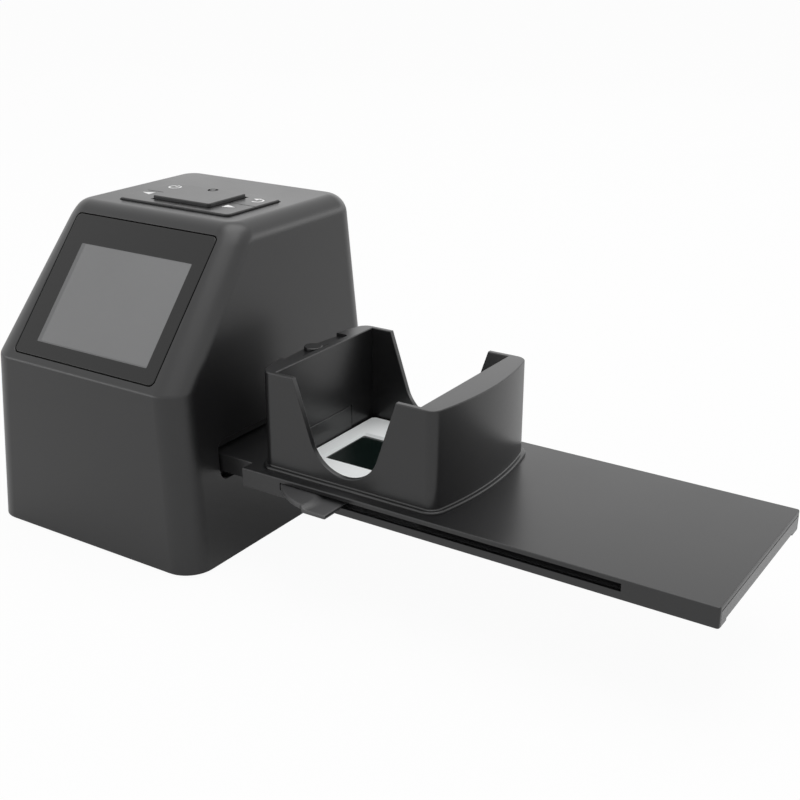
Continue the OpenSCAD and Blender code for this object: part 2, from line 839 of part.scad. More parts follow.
module gate_base() {
    color("#232325") placed() difference() {
        union() {
            box([tower_cx - frame_x, gate_y0, gate_z0], [tower_cx + frame_x, gate_y1, gate_z1]);
            box([gate_x0, gate_y0, gate_z0], [gate_x1, gate_y0 + rail_w, rail_z1]);
            box([gate_x0, gate_y1 - rail_w, gate_z0], [gate_x1, gate_y1, rail_z1]);
            for (p = leg_spots)
                bar(p[0], p[1], base_z1, gate_z0 + eps, leg_d);
            // Frames that close the wall openings round the feeder's tongue.
            for (x = [tower_cx - frame_x, tower_cx + frame_x - frame_t])
                box([x, gate_y0, opening_z0 - 2], [x + frame_t, gate_y1, opening_z1 + 2]);
        }
        for (x = [tower_cx - frame_x - 1, tower_cx + frame_x - frame_t - 1])
            box([x, tongue_y0 - slide_gap, gate_z1],
                [x + frame_t + 2, tongue_y1 + slide_gap, rail_z1]);
        for (p = leg_spots)
            bar(p[0], p[1], base_z1 - 1, base_z1 + screw_l, screw_d + 2 * screw_gap);
        translate([gate_x, well_y, gate_z0 - 1])
            round_plate(light_w, light_d, gate_t + 2, 1);
        for (x = [gate_x0 + gate_screw_x, gate_x1 - gate_screw_x])
            for (y = [gate_y0 + gate_screw_y, gate_y1 - gate_screw_y])
                bar(x, y, rail_z1 - pin_bite - 0.2, rail_z1 + 1, pin_d + 2 * screw_gap);
    }
}

module gate_top() {
    color("#232325") placed() difference() {
        box([gate_x0, gate_y0, rail_z1], [gate_x1, gate_y1, gate_top_z]);
        translate([gate_x, well_y, rail_z1 - 1])
            round_plate(light_w + 2, light_d + 2, gate_top_t + 2, 1);
        for (x = [gate_x0 + gate_screw_x, gate_x1 - gate_screw_x])
            for (y = [gate_y0 + gate_screw_y, gate_y1 - gate_screw_y])
                bar(x, y, rail_z1 - 1, gate_top_z + 1, pin_d + 2 * screw_gap);
    }
}

module gate_screws() {
    color("#8b8d90") placed()
        for (x = [gate_x0 + gate_screw_x, gate_x1 - gate_screw_x])
            for (y = [gate_y0 + gate_screw_y, gate_y1 - gate_screw_y])
                translate([x, y, gate_top_z + pin_head_h])
                    screw(pin_d, gate_top_t + pin_bite, pin_head_d, pin_head_h);
}

// Leaf springs on the rails' ends that click into the side of a film holder.
module detent_springs() {
    leaf = 0.3;
    z = (tray_z + tray_top - detent_h) / 2;
    color("#a9acb0") placed()
        for (s = [-1, 1])
            translate([gate_x0, well_y + s * (tongue_w / 2 + slide_gap), z])
                mirror([0, s > 0 ? 0 : 1, 0]) {
                    translate([-leaf, 0, 0])
                        cube([leaf, rail_w, detent_h]);
                    translate([-detent_l, 0, 0])
                        cube([detent_l, leaf, detent_h]);
                }
}

module light_box() {
    color("#e8e8e4") placed() translate([gate_x, well_y, 0]) difference() {
        box([-box_w / 2, -box_d / 2, base_z1], [box_w / 2, box_d / 2, gate_z0]);
        box([-light_w / 2 - 2, -light_d / 2 - 2, base_z1 + box_wall],
            [light_w / 2 + 2, light_d / 2 + 2, gate_z0 + 1]);
        box([-box_w / 2 + box_wall, -box_d / 2 + box_wall, gate_z0 - diffuser_t],
            [box_w / 2 - box_wall, box_d / 2 - box_wall, gate_z0 + 1]);
    }
}

module led_board() {
    color("#f0f0ee") placed() translate([gate_x, well_y, base_z1 + box_wall])
        round_plate(light_w + 3.4, light_d + 3.4, board_t, 0.5);
}

module light_leds() {
    color("#f4e7a0") placed() translate([gate_x, well_y, base_z1 + box_wall + board_t])
        for (x = [-1, 0, 1], y = [-1, 1])
            translate([x * light_w / 3.2, y * light_d / 4, 0.5])
                cube([3.5, 2.8, 1], center = true);
}

module diffuser() {
    color("#f7f7f5") placed() translate([gate_x, well_y, gate_z0 - diffuser_t])
        round_plate(box_w - 2 * box_wall - 0.2, box_d - 2 * box_wall - 0.2, diffuser_t, 0.5);
}

// A dark pyramid between the gate and the lens, with a flange at its foot.
module camera_chamber() {
    skin = 1.6;
    flange_t = 1.4;
    color("#1d1d1f") placed() translate([gate_x, well_y, gate_top_z]) difference() {
        union() {
            hull() {
                round_plate(light_w + 6, light_d + 8, eps, 1);
                translate([0, 0, chamber_h - eps])
                    round_plate(holder_w + 6, holder_w + 6, eps, 1);
            }
            round_plate(light_w + 11, light_d + 13, flange_t, 2);
        }
        hull() {
            translate([0, 0, -eps])
                round_plate(light_w + 6 - 2 * skin, light_d + 8 - 2 * skin, eps, 1);
            translate([0, 0, chamber_h - 2])
                round_plate(holder_w + 6 - 2 * skin, holder_w + 6 - 2 * skin, eps, 1);
        }
        bar(0, 0, chamber_h - 4, chamber_h + 1, barrel_d + 2 * slide_gap);
    }
}

module lens_holder() {
    color("#161616") placed() translate([gate_x, well_y, chamber_z1]) difference() {
        round_plate(holder_w, holder_w, holder_h, 1.5);
        bar(0, 0, -1, holder_h - 2 + eps, barrel_d + 2 * screw_gap);
        translate([0, 0, holder_h - 3])
            round_plate(9, 9, 4, 0.5);
    }
}

module lens_barrel() {
    color("#101011") placed() translate([gate_x, well_y, 0]) difference() {
        bar(0, 0, barrel_z0, barrel_z1, barrel_d);
        bar(0, 0, barrel_z0 - 1, barrel_z1 + 1, barrel_d - 5);
        translate([0, 0, barrel_z0 - eps])
            cylinder(h = 2, d1 = barrel_d - 2, d2 = barrel_d - 5, $fn = round_fn);
    }
}

module lens_glass() {
    color("#5a6a8a") placed()
        bar(gate_x, well_y, barrel_z0 + 2.4, barrel_z0 + 5.4, barrel_d - 5 - 2 * screw_gap);
}

module sensor_board() {
    color("#1f5a3a") placed() translate([gate_x, well_y, holder_z1])
        round_plate(sensor_board_w, sensor_board_w, board_t, 1);
}

module image_sensor() {
    color("#2f3038") placed() translate([gate_x, well_y, holder_z1 - 1])
        round_plate(8, 8, 1, 0.3);
}

// ---------- Feeder ----------

// Plan of the feeder: the narrow tongue on the left and the wide tray on the right.
module feeder_plan(inset) {
    polygon(concat(
        [[tongue_x, tongue_y1 - inset], [tongue_x, tongue_y0 + inset],
         [shoulder_x + inset, tongue_y0 + inset], [shoulder_x + inset, tray_y + inset]],
        arc(feeder_reach - tray_r, tray_y + tray_r + inset, tray_r, -90, 0, corner_steps),
        arc(feeder_reach - tray_r, tray_y1 - tray_r - inset, tray_r, 0, 90, corner_steps),
        [[shoulder_x + inset, tray_y1 - inset], [shoulder_x + inset, tongue_y1 - inset]]
    ));
}

tab_x1 = feeder_reach - 27.1 - pusher_travel;
tab_x0 = tab_x1 - tab_w;
slot_x0 = tab_x0 - flank_l - slide_gap;
slot_x1 = tab_x1 + pusher_travel + slide_gap;
end_wall = 2;
end_corner = 5.5;
seam_d = 0.8;
boss_in = 3.2;
boss_d = 3.4;
cover_screw_spots = [
    [shoulder_x + 5.2, tray_y1 - boss_in], [well_x1 + 14, tray_y1 - boss_in],
    [feeder_reach - 6, tray_y1 - boss_in], [feeder_reach - 6, tray_y + boss_in]
];

// Cut for the light path through the tongue at the gate.
module gate_window(z0, z1) {
    translate([gate_x, well_y, z0])
        round_plate(light_w, light_d, z1 - z0, 1);
}

// The top of the tray with its side walls; the pusher's slot is in the front wall.
module feeder_cover() {
    color("#323335") placed() difference() {
        translate([0, 0, tray_z])
            linear_extrude(tray_top - tray_z)
                feeder_plan(0);
        difference() {
            translate([0, 0, tray_z - 1])
                linear_extrude(channel_z1 - tray_z + 1)
                    feeder_plan(skirt_t);
            for (p = cover_screw_spots)
                bar(p[0], p[1], floor_z, channel_z1 + 1, boss_d);
        }
        box([tongue_x - 1, tongue_y0 + skirt_t, tray_z - 1], [tongue_x + 1, tongue_y1 - skirt_t, channel_z1]);
        box([feeder_reach - end_wall - 1, tray_y + skirt_t, tray_z - 1],
            [feeder_reach + 1, tray_y1 - skirt_t, channel_z1]);
        box([slot_x0, tray_y - 1, floor_z], [slot_x1, tray_y + skirt_t + 1, channel_z1]);
        box([well_x0, well_y0, channel_z1 - 1], [well_x1, well_y1, tray_top + 1]);
        gate_window(channel_z1 - 1, tray_top + 1);
        for (p = cover_screw_spots)
            bar(p[0], p[1], floor_z - 1, channel_z1 - 0.2, pin_d + 2 * screw_gap);
    }
}

// The floor of the channel with its guide ribs, stiffening ribs below and the end wall.
module feeder_base() {
    in = skirt_t + seat_gap;
    rib = 1.2;
    guide_x0 = shoulder_x + in;
    guide_x1 = feeder_reach - end_wall;
    color("#2c2d2f") placed() difference() {
        union() {
            translate([0, 0, floor_z - floor_t])
                linear_extrude(floor_t)
                    feeder_plan(in);
            // Guide ribs beside the slides; the front one leaves the pusher's slot free.
            box([guide_x0, well_y0 - rib, floor_z - eps], [slot_x0 - 1, well_y0, channel_z1 - seat_gap]);
            box([slot_x1 + 1, well_y0 - rib, floor_z - eps], [guide_x1 + eps, well_y0, channel_z1 - seat_gap]);
            box([guide_x0, well_y1, floor_z - eps], [guide_x1 + eps, well_y1 + rib, channel_z1 - seat_gap]);
            // End wall below the cover's edge.
            box([guide_x1, tray_y + in, tray_z], [feeder_reach, tray_y1 - in, channel_z1 - seat_gap]);
            // Stiffening ribs under the floor.
            for (y = [well_y0, well_y1 - rib])
                box([tongue_x, y, tray_z], [guide_x1 + eps, y + rib, floor_z - floor_t + eps]);
            for (x = [well_x0, well_x1, (well_x1 + guide_x1) / 2])
                box([x, well_y0 - eps, tray_z], [x + rib, well_y1 + eps, floor_z - floor_t + eps]);
        }
        gate_window(tray_z - 1, floor_z + 1);
        for (p = cover_screw_spots)
            bar(p[0], p[1], tray_z - 1, floor_z + 1, pin_d + 2 * screw_gap);
        // Seam groove below the cover's edge.
        box([feeder_reach - seam_d, tray_y, channel_z1 - seam_h], [feeder_reach + 1, tray_y1, channel_z1]);
        // The end wall stands a little higher between its two corners.
        box([guide_x1 + eps, tray_y + end_corner, tray_z - 1],
            [feeder_reach + 1, tray_y1 - end_corner, tray_z + end_rise]);
    }
}

module feeder_screws() {
    color("#8b8d90") placed()
        for (p = cover_screw_spots)
            translate([p[0], p[1], floor_z - floor_t - pin_head_h + 0.2])
                mirror([0, 0, 1])
                    screw(pin_d, floor_t - 0.2 + 2, pin_head_d, pin_head_h - 0.2);
}

// ---------- Hopper ----------

// Side of the hopper seen from above: an arc that bulges outward by side_bulge,
// with a round edge at each end. Its middle is at [0, 0] and the arc opens to -X.
function side_curve(half, edge_r) =
    let(
        r = (half * half + side_bulge * side_bulge) / (2 * side_bulge),
        turn = asin((half - edge_r) / (r - edge_r)),
        edge_x = (r - edge_r) * cos(turn) - r
    )
    concat(
        arc(edge_x, edge_r - half, edge_r, -90, -turn, 5),
        arc(-r, 0, r, -turn, turn, 20),
        arc(edge_x, half - edge_r, edge_r, turn, 90, 5)
    );

module hopper_plan(grow) {
    points = side_curve(well_w / 2 + hopper_wall + grow, hopper_r + grow);
    right_x = well_x1 + right_side + side_bulge + grow;
    left_x = well_x0 - left_side - side_bulge - grow;
    polygon(concat(
        [for (p = points) [right_x + p[0], well_y + p[1]]],
        [for (p = points) [left_x - p[0], well_y - p[1]]]
    ));
}

// Finger notch: straight flanks that run into a round end.
module notch_plan() {
    zt = tray_top + hopper_h;
    rise = hopper_h - notch_up - notch_r;
    turn = atan2(rise, notch_w / 2) - acos(notch_r / norm([notch_w / 2, rise]));
    polygon(concat(
        arc(well_x, zt - rise, notch_r, -180 - turn, turn, 24),
        [[well_x + notch_w / 2, zt], [well_x + notch_w / 2, zt + 1],
         [well_x - notch_w / 2, zt + 1], [well_x - notch_w / 2, zt]]
    ));
}

// Recess in the left side's top, with a stud between two slots, and a shallow panel
// in the well's left wall below it.
module catch_cut() {
    zt = tray_top + hopper_h;
    mid_x = well_x0 - left_side - side_bulge / 2;
    difference() {
        box([well_x0 - left_side - side_bulge - 1, well_y - catch_w / 2, zt - catch_t],
            [well_x0 - 2.2, well_y + catch_w / 2, zt + 1]);
        bar(mid_x + 0.8, well_y, zt - catch_t - 1, zt, catch_stud_d);
    }
    for (s = [-1, 1])
        box([well_x0 - 4.4, well_y + s * catch_pitch / 2 - 1.8, zt - 4],
            [well_x0 - 2.8, well_y + s * catch_pitch / 2 + 1.8, zt + 1]);
    box([well_x0 - 0.6, well_y - catch_w / 2, tray_top - 1],
        [well_x0 + 1, well_y + catch_w / 2, tray_top + 6.8]);
}

module hopper() {
    color("#303133") placed() difference() {
        union() {
            translate([0, 0, tray_top])
                linear_extrude(hopper_h)
                    hopper_plan(0);
            translate([0, 0, tray_top])
                linear_extrude(lip_t)
                    hopper_plan(lip_w);
        }
        box([well_x0, well_y0, tray_top - 1], [well_x1, well_y1, tray_top + hopper_h + 1]);
        catch_cut();
        translate([0, tray_y1 + 10, 0])
            rotate([90, 0, 0])
                linear_extrude(tray_w + 20)
                    notch_plan();
    }
}

// ---------- Pusher ----------

module pusher() {
    z0 = floor_z + floor_gap;
    plate_x0 = well_x + slide_w / 2 + 0.5 - pusher_travel;
    plate_x1 = well_x1;
    y0 = well_y - slide_w / 2;
    y1 = well_y + slide_w / 2;
    tab_y = tray_y - tab_out;
    tab_z1 = z0 - tab_low + tab_t;
    face_gap = 0.4;
    // The flank's curve runs from the tray's face to the tab's front-left corner.
    p0 = [tab_x0 - flank_l, tray_y];
    p1 = [tab_x0, tab_y + 1];
    chord = p1 - p0;
    half = norm(chord) / 2;
    middle = (p0 + p1) / 2 + sqrt(flank_r * flank_r - half * half) * [-chord[1], chord[0]] / (2 * half);
    a0 = atan2(p0[1] - middle[1], p0[0] - middle[0]);
    a1 = atan2(p1[1] - middle[1], p1[0] - middle[0]);
    color("#3a3b3d") placed() {
        box([plate_x0, y0, z0], [plate_x1, y1, z0 + pusher_t]);
        // The tab passes the slot at the plate's level and hangs a little lower outside.
        box([tab_x0, tab_y, z0 - tab_low], [tab_x1, tray_y - face_gap, tab_z1]);
        box([tab_x0, tray_y - face_gap - eps, z0], [tab_x1, y0 + eps, tab_z1]);
        translate([0, 0, z0])
            linear_extrude(pusher_t + flank_up)
                polygon(concat(
                    arc(middle[0], middle[1], flank_r, a0, a1, 10),
                    [[tab_x0 + 0.6, tab_y + 3], [tab_x0 + 0.3, tray_y], [tab_x0 + 0.3, y0 + eps],
                     [tab_x0 - flank_l, y0 + eps]]
                ));
    }
}

// ---------- Slide ----------

slide_z0 = floor_z + floor_gap + pusher_t + slide_gap;
slide_half_t = slide_t / 2;

module slide_half(z0, up) {
    placed() translate([well_x, well_y, z0]) difference() {
        round_plate(slide_w, slide_w, slide_half_t, 1.5);
        translate([0, 0, -1])
            round_plate(picture_w, picture_d, slide_t + 2, 0.5);
        translate([0, 0, up ? -1 : slide_half_t - film_t / 2])
            round_plate(picture_w + 4, picture_d + 4, up ? 1 + film_t / 2 : 1, 0.5);
    }
}

module slide_mount_lower() {
    color("#f2f3f3") slide_half(slide_z0, false);
}

module slide_mount_upper() {
    color("#f6f7f7") slide_half(slide_z0 + slide_half_t, true);
}

module slide_film() {
    color("#0d120f") placed() translate([well_x, well_y, slide_z0 + slide_half_t - film_t / 2])
        round_plate(picture_w + 3.6, picture_d + 3.6, film_t, 0.5);
}

main_housing();
base_plate();
rubber_feet();
base_screws();
display_window();
lcd_panel();
lcd_bracket();
lcd_screws();
key_board();
tact_switches();
key_board_screws();
main_board();
main_board_screws();
usb_socket();
video_jack();
card_slot();
light_box();
led_board();
light_leds();
diffuser();
gate_base();
gate_top();
gate_screws();
detent_springs();
camera_chamber();
lens_holder();
lens_barrel();
lens_glass();
sensor_board();
image_sensor();
ok_key();
left_key();
right_key();
power_key();
return_key();
feeder_base();
feeder_cover();
feeder_screws();
hopper();
pusher();
slide_mount_lower();
slide_mount_upper();
slide_film();
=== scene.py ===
"""Film and slide scanner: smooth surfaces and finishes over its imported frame.

Lengths inside the shape functions are millimetres from the tower's foot corner, with X to
the feeder's free end, Y to the rear and Z up. row_points turns them into the frame's metres.
"""
import math

import bpy
import numpy as np
from bpy.props import FloatProperty, FloatVectorProperty, PointerProperty
from bpy.types import Operator, Panel, PropertyGroup
from mathutils import Matrix, Vector


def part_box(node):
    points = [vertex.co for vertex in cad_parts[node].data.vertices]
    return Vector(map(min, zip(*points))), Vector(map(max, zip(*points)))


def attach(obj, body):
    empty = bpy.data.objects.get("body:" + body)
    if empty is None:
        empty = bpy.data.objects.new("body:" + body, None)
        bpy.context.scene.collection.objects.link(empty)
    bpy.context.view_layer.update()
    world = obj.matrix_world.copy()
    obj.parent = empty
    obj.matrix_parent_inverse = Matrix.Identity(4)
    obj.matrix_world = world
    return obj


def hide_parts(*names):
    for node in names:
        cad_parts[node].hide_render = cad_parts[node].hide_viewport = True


bl_info = {
    "name": "Film Scanner",
    "version": (1, 0, 0),
    "blender": (4, 5, 0),
    "location": "View3D > Sidebar > Scanner",
    "description": "Builds the film scanner's surfaces and finishes over its frame",
    "category": "Object",
}

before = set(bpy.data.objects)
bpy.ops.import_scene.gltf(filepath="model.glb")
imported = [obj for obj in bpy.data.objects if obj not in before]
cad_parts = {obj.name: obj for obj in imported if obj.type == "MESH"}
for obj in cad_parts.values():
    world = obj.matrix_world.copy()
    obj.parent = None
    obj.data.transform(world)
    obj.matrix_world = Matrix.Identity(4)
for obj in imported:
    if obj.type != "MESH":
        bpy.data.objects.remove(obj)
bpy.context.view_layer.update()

MM = 0.001
SHELL_LOW, SHELL_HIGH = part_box("main_housing")
FOOT = np.array([SHELL_HIGH.x, SHELL_LOW.y, SHELL_LOW.z])


def local_box(node):
    """Corners of a frame node in millimetres from the tower's foot corner."""
    low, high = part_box(node)
    return (np.array(low) - FOOT) / MM, (np.array(high) - FOOT) / MM


def row_points(points):
    """Millimetres from the foot corner to metres of the frame."""
    return np.asarray(points, float) * MM + FOOT


# How far a cutter stands past the surface that it cuts
OVER = 1.0
FAR_OVER = 4.0

# Tower shell
TOWER_W = (SHELL_HIGH.x - SHELL_LOW.x) / MM
TOWER_D = (SHELL_HIGH.y - SHELL_LOW.y) / MM
TOWER_H = (SHELL_HIGH.z - SHELL_LOW.z) / MM
TOWER_X = -TOWER_W / 2
FRONT_H = 59.8
SLOPE = math.radians(50.0)
SIDE_DRAFT = math.radians(3.9)
REAR_DRAFT = math.radians(2.8)
FRONT_DRAFT = math.radians(1.4)
CORNER_R = 9.5
TOP_R = 6.5
CREASE_R = 2.2
LEAST_CORNER_R = 0.5
LEAST_TOP_R = 0.6
LEAST_CREASE_R = 0.4
WALL = 2.4
CREASE_Y = FRONT_H * math.tan(FRONT_DRAFT)

# Film openings in the tower's sides
OPENING_SIDE = 0.6
OPENING_LOW = 3.0
OPENING_HIGH = 4.0
OPENING_R = 3.0
OPENING_LIP = 0.4
OPENING_DEPTH = 6.0

# Socket holes in the rear wall: the corner radius, or None for a round hole
SOCKET_HOLES = {"usb_socket": 0.6, "card_slot": 0.6, "video_jack": None}
SOCKET_GAP = 0.3
SOCKET_LIP = 0.25
SOCKET_OUT = 3.0

# Display
WINDOW = (62.0, 52.4)
WINDOW_R = 1.85
WINDOW_T = 1.5
WINDOW_SEAT = 0.05
WINDOW_RECESS_R = 2.0
WINDOW_GAP = 0.32
WINDOW_UP = 3.0
WINDOW_EDGE = 0.3
PICTURE = (49.0, 36.7)
PICTURE_R = 0.4
PICTURE_UP = 5.1
PICTURE_RIGHT = 1.4
PICTURE_SINK = 0.03
# Widths of the painted shadow round the picture area: a darker strip standing in for the window
# mask's shadow, widest on the left and at the bottom
PAINTED_SHADOW_LEFT = 1.7
PAINTED_SHADOW_LOW = 0.5
STRIP = 0.15
WINDOW_FINISH = {"rough": 0.24, "patch": 0.05, "ior": 1.46}
PICTURE_FINISH = {"rough": 0.25, "patch": 0.035, "shift": 0.10, "coat": 0.4}
# Finish of the painted shadow strip: a darker grey than the picture area
PAINTED_SHADOW_FINISH = {"colour": (0.115, 0.116, 0.118), "rough": 0.3, "patch": 0.02}

# Keys
PAD = (48.8, 28.2)
PAD_X = TOWER_X + 2.2
PAD_Y = 61.8
PAD_R = 2.0
PAD_OUT = 0.8
RECESS_LIP = 0.3
OK_KEY = (25.4, 19.6)
OK_R = 1.2
OK_OUT = 1.3
KEY_GAP = 0.3
HALF_SEAM = 0.05
KEY_EDGE = 0.35
KEY_FOOT = 1.4
RING_R = (1.9, 1.1)
RING_AT = (-0.6, 7.7)
RING_DEEP = 0.5
SIGN_RISE = 0.03
SIGN_SINK = 0.02
# The signs' middles from the key group's, and their sizes
POWER_AT = (-19.3, 8.8)
RETURN_AT = (19.4, 7.4)
LEFT_AT = (-20.6, -3.7)
RIGHT_AT = (17.2, -4.7)
POWER_R = 2.1
POWER_WIDTH = 0.6
POWER_GAP = 60
HOOK_R = (2.35, 1.7)
HOOK_TURN = 120

# Feeder
COVER_LOW, COVER_HIGH = local_box("feeder_cover")
HOPPER_TOP = local_box("hopper")[1][2]
MOUNT_LOW, MOUNT_HIGH = local_box("slide_mount_lower")
PUSHER_LOW, PUSHER_HIGH = local_box("pusher")
TRAY_Z = COVER_LOW[2]
TRAY_TOP = COVER_HIGH[2]
TRAY_Y0 = COVER_LOW[1]
TRAY_Y1 = COVER_HIGH[1]
REACH = COVER_HIGH[0]
TRAY_R = 0.8
TRAY_FOOT_R = 0.15
TONGUE_X = COVER_LOW[0]
TONGUE_W = 54.4
SHOULDER_X = 10.6
FLOOR_Z = TRAY_Z + 2.4
CHANNEL_Z1 = TRAY_TOP - 1.4
CHANNEL_R = 0.4
# How far in the channel is cut open at the tray's end and at the tongue's
END_OPEN = 3.0
TONGUE_OPEN = 2.0
SKIRT = 1.2
WELL_X = (MOUNT_LOW[0] + MOUNT_HIGH[0]) / 2
WELL_Y = (MOUNT_LOW[1] + MOUNT_HIGH[1]) / 2
WELL = 51.6
WELL_X0 = WELL_X - WELL / 2
TONGUE_Y0 = WELL_Y - TONGUE_W / 2
TONGUE_Y1 = WELL_Y + TONGUE_W / 2
GATE_X = -40.0
GATE = (37.0, 25.0)

# Pusher
TAB_X1 = 48.9
TAB_X0 = 39.9
TAB_T = 1.3
TAB_LOW = 0.4
TAB_EDGE = 0.5
FLANK_L = 14.3
FLANK_R = 24.0
FLANK_UP = 0.2
# How far behind the tab's front the flank's arc ends
FLANK_IN = 1.0
PLATE_R = 0.6
PLATE_EDGE = 0.2
# How far behind the mount's front the tab's sections start
TAB_BACK = 0.5
# Sections of the bank from flank to tab, as distances from the tab's left end
BANK = (0.3, 0.6, 1.0, 1.4, 1.9, 2.4, 3.0)
BANK_END = 4.0
# How far before the right end's rounding the last straight section is
TAB_END_IN = 0.3
# Least height between the two roundings of the tab's front
TAB_LEAST = 0.02
# Each turn from 0 to 1: how far from its line it starts, and its length
FRONT_TURN = (0.8, 1.6)
TOP_TURN = (2.0, 3.4)
LOW_TURN = (1.5, 3.0)
OUTSIDE_TURN = (0.4, 1.5)
# The hollow in the tab's top: its depth, and its length from the tab's front
HOLLOW = (1.5, 10.0)
SLOT_X0 = TAB_X0 - FLANK_L - 0.3
SLOT_X1 = 138.2

# Hopper
HOPPER_WALL = 1.8
RIGHT_SIDE = 5.6
LEFT_SIDE = 4.2
SIDE_BULGE = 3.8
HOPPER_LEFT = WELL_X0 - LEFT_SIDE - SIDE_BULGE
HOPPER_R = 4.0
LIP_W = 1.4
LIP_T = 1.0
LIP_R = 0.5
LIP_FILLET = 0.4
NOTCH_W = 37.0
NOTCH_R = 12.6
NOTCH_UP = 3.8
# Distances past the notch's end at which the wall has extra sections
NOTCH_ENDS = (0.02, 0.3, 1.0)

# Catch on the hopper's left side: recess, stud, two slots and the raised panel
RECESS_DEEP = 1.2
RECESS_W = 30.0
RECESS_IN = 2.2
RECESS_R = 1.0
STUD_R = 3.0
STUD_H = 1.4
STUD_RIGHT = 0.8
STUD_EDGE = 0.3
CATCH_SLOT = (1.6, 3.6)
CATCH_SLOT_R = 0.6
CATCH_SLOT_IN = 3.6
CATCH_SLOT_APART = 11.1
CATCH_SLOT_DEEP = 4.0
PANEL_W = 26.0
PANEL_TOP = 45.1
PANEL_OUT = 0.35
PANEL_BACK = 0.2
PANEL_FOOT = 0.1
PANEL_R = 0.3
PANEL_EDGE = 0.25
# Width and depth of the groove beside the panel
PANEL_GROOVE = (0.6, 0.6)

# Slide
MOUNT_HOLE = (38.6, 22.4)
MOUNT_R = 1.5
HOLE_R = 0.6
MOUNT_SHY = 0.01
MOUNT_FINISH = {"rough": 0.5, "grain": 0.0006, "depth": 0.00001, "shift": 0.02}
FILM_FINISH = {"colour": (0.003, 0.007, 0.006), "rough": 0.16, "patch": 0.01}

# Roundings and grooves too small to be named apart
FINE_R = 0.05
SMALL_R = 0.1


# ----- Sizes and colours that a user may change -----

def colour(name, part, default):
    """A colour of a part that a user may change."""
    return FloatVectorProperty(
        name=name, description=f"Colour of {part}", default=default, subtype="COLOR",
        min=0.0, max=1.0)


class ScannerLook(PropertyGroup):
    """Sizes and colours of the scanner's finishes."""
    edge_radius: FloatProperty(
        name="Edge radius", description="Rounding of the feeder's moulded edges",
        default=0.00035, min=0.0001, max=0.0006, unit="LENGTH")
    grain_size: FloatProperty(
        name="Grain size", description="Size of the moulded grain's bumps",
        default=0.0005, min=0.0002, max=0.002, unit="LENGTH")
    grain_depth: FloatProperty(
        name="Grain depth", description="Depth of the moulded grain",
        default=0.00002, min=0.0, max=0.0001, unit="LENGTH")
    housing_colour: colour(
        "Housing", "the tower's plastic", (0.009, 0.009, 0.0095))
    feeder_colour: colour(
        "Feeder", "the feeder's plastic", (0.007, 0.007, 0.0075))
    # A lighter copy of the feeder's black plastic: painted light that stands in for the bright
    # reflection on the tray's end face
    end_painted_light_colour: colour(
        "Tray end", "the tray's floor and end wall", (0.055, 0.055, 0.057))
    # Lighter than the feeder's plastic: partly the pusher's own grey-black and partly painted
    # light that brightens the thumb tab and its flank
    pusher_tone_and_light_colour: colour(
        "Pusher", "the pusher's plastic", (0.045, 0.045, 0.046))
    window_colour: colour(
        "Window", "the display window's border", (0.006, 0.006, 0.006))
    picture_colour: colour(
        "Picture area", "the dark display", (0.145, 0.146, 0.148))
    print_colour: colour(
        "Key print", "the signs on the keys", (0.80, 0.80, 0.80))
    mount_colour: colour(
        "Slide mount", "the slide mount", (0.88, 0.90, 0.90))
    lamp_power: FloatProperty(
        name="Lamp power", description="Power of the main lamp", default=5.4, min=0.1,
        max=100.0, unit="POWER")


def look():
    return bpy.context.scene.scanner_look


# ----- Outlines and solids -----

def arc(cx, cy, r, a0, a1, n):
    """n points of a circle's arc: centre plus r times (cos a, sin a), a in degrees."""
    a = np.radians(np.linspace(a0, a1, n))
    return np.stack([cx + r * np.cos(a), cy + r * np.sin(a)], 1)


def disc(r, x=0.0, y=0.0, n=48):
    """A circle's outline of n points: its arc without the last step."""
    return arc(x, y, r, 0, 360 - 360 / n, n)


def round_rect(x0, x1, y0, y1, r, n=9):
    """A rectangle whose corners are quarter circles, counter-clockwise."""
    return np.concatenate([
        arc(x1 - r, y0 + r, r, -90, 0, n), arc(x1 - r, y1 - r, r, 0, 90, n),
        arc(x0 + r, y1 - r, r, 90, 180, n), arc(x0 + r, y0 + r, r, 180, 270, n)])


def centred_rect(w, d, r):
    return round_rect(-w / 2, w / 2, -d / 2, d / 2, r)


def move_in(outline, inset):
    """Moves a counter-clockwise outline inward: each point goes along the mitre of its two
    edges' normals, by the inset divided by the cosine of half the turn."""
    back = outline - np.roll(outline, 1, 0)
    ahead = np.roll(outline, -1, 0) - outline
    n0 = np.stack([back[:, 1], -back[:, 0]], 1)
    n1 = np.stack([ahead[:, 1], -ahead[:, 0]], 1)
    n0 /= np.linalg.norm(n0, axis=1, keepdims=True)
    n1 /= np.linalg.norm(n1, axis=1, keepdims=True)
    mitre = (n0 + n1) / (1 + (n0 * n1).sum(1, keepdims=True))
    return outline - mitre * inset


def edge_profile(z0, z1, low_r, high_r, n=5):
    """Inset and height up a side whose two edges are quarter circles."""
    a = np.radians(np.linspace(0, 90, n))
    low = np.stack([low_r * (1 - np.sin(a)), z0 + low_r * (1 - np.cos(a))], 1)
    high = np.stack([high_r * (1 - np.cos(a)), z1 - high_r * (1 - np.sin(a))], 1)
    return np.concatenate([low, high])


def quads(rows, cols):
    """Faces between neighbouring closed rings, each ring's points counter-clockwise."""
    i, j = np.meshgrid(np.arange(rows - 1), np.arange(cols), indexing="ij")
    k = (j + 1) % cols
    faces = np.stack([i * cols + j, i * cols + k, (i + 1) * cols + k, (i + 1) * cols + j], -1)
    return faces.reshape(-1, 4)


def stack(rings):
    """A closed surface through rings of equal count, capped at the first and the last."""
    rings = np.asarray(rings)
    m, n = rings.shape[:2]
    faces = quads(m, n).tolist()
    faces.append(list(range(n))[::-1])
    faces.append(list(range((m - 1) * n, m * n)))
    return rings.reshape(-1, 3), faces


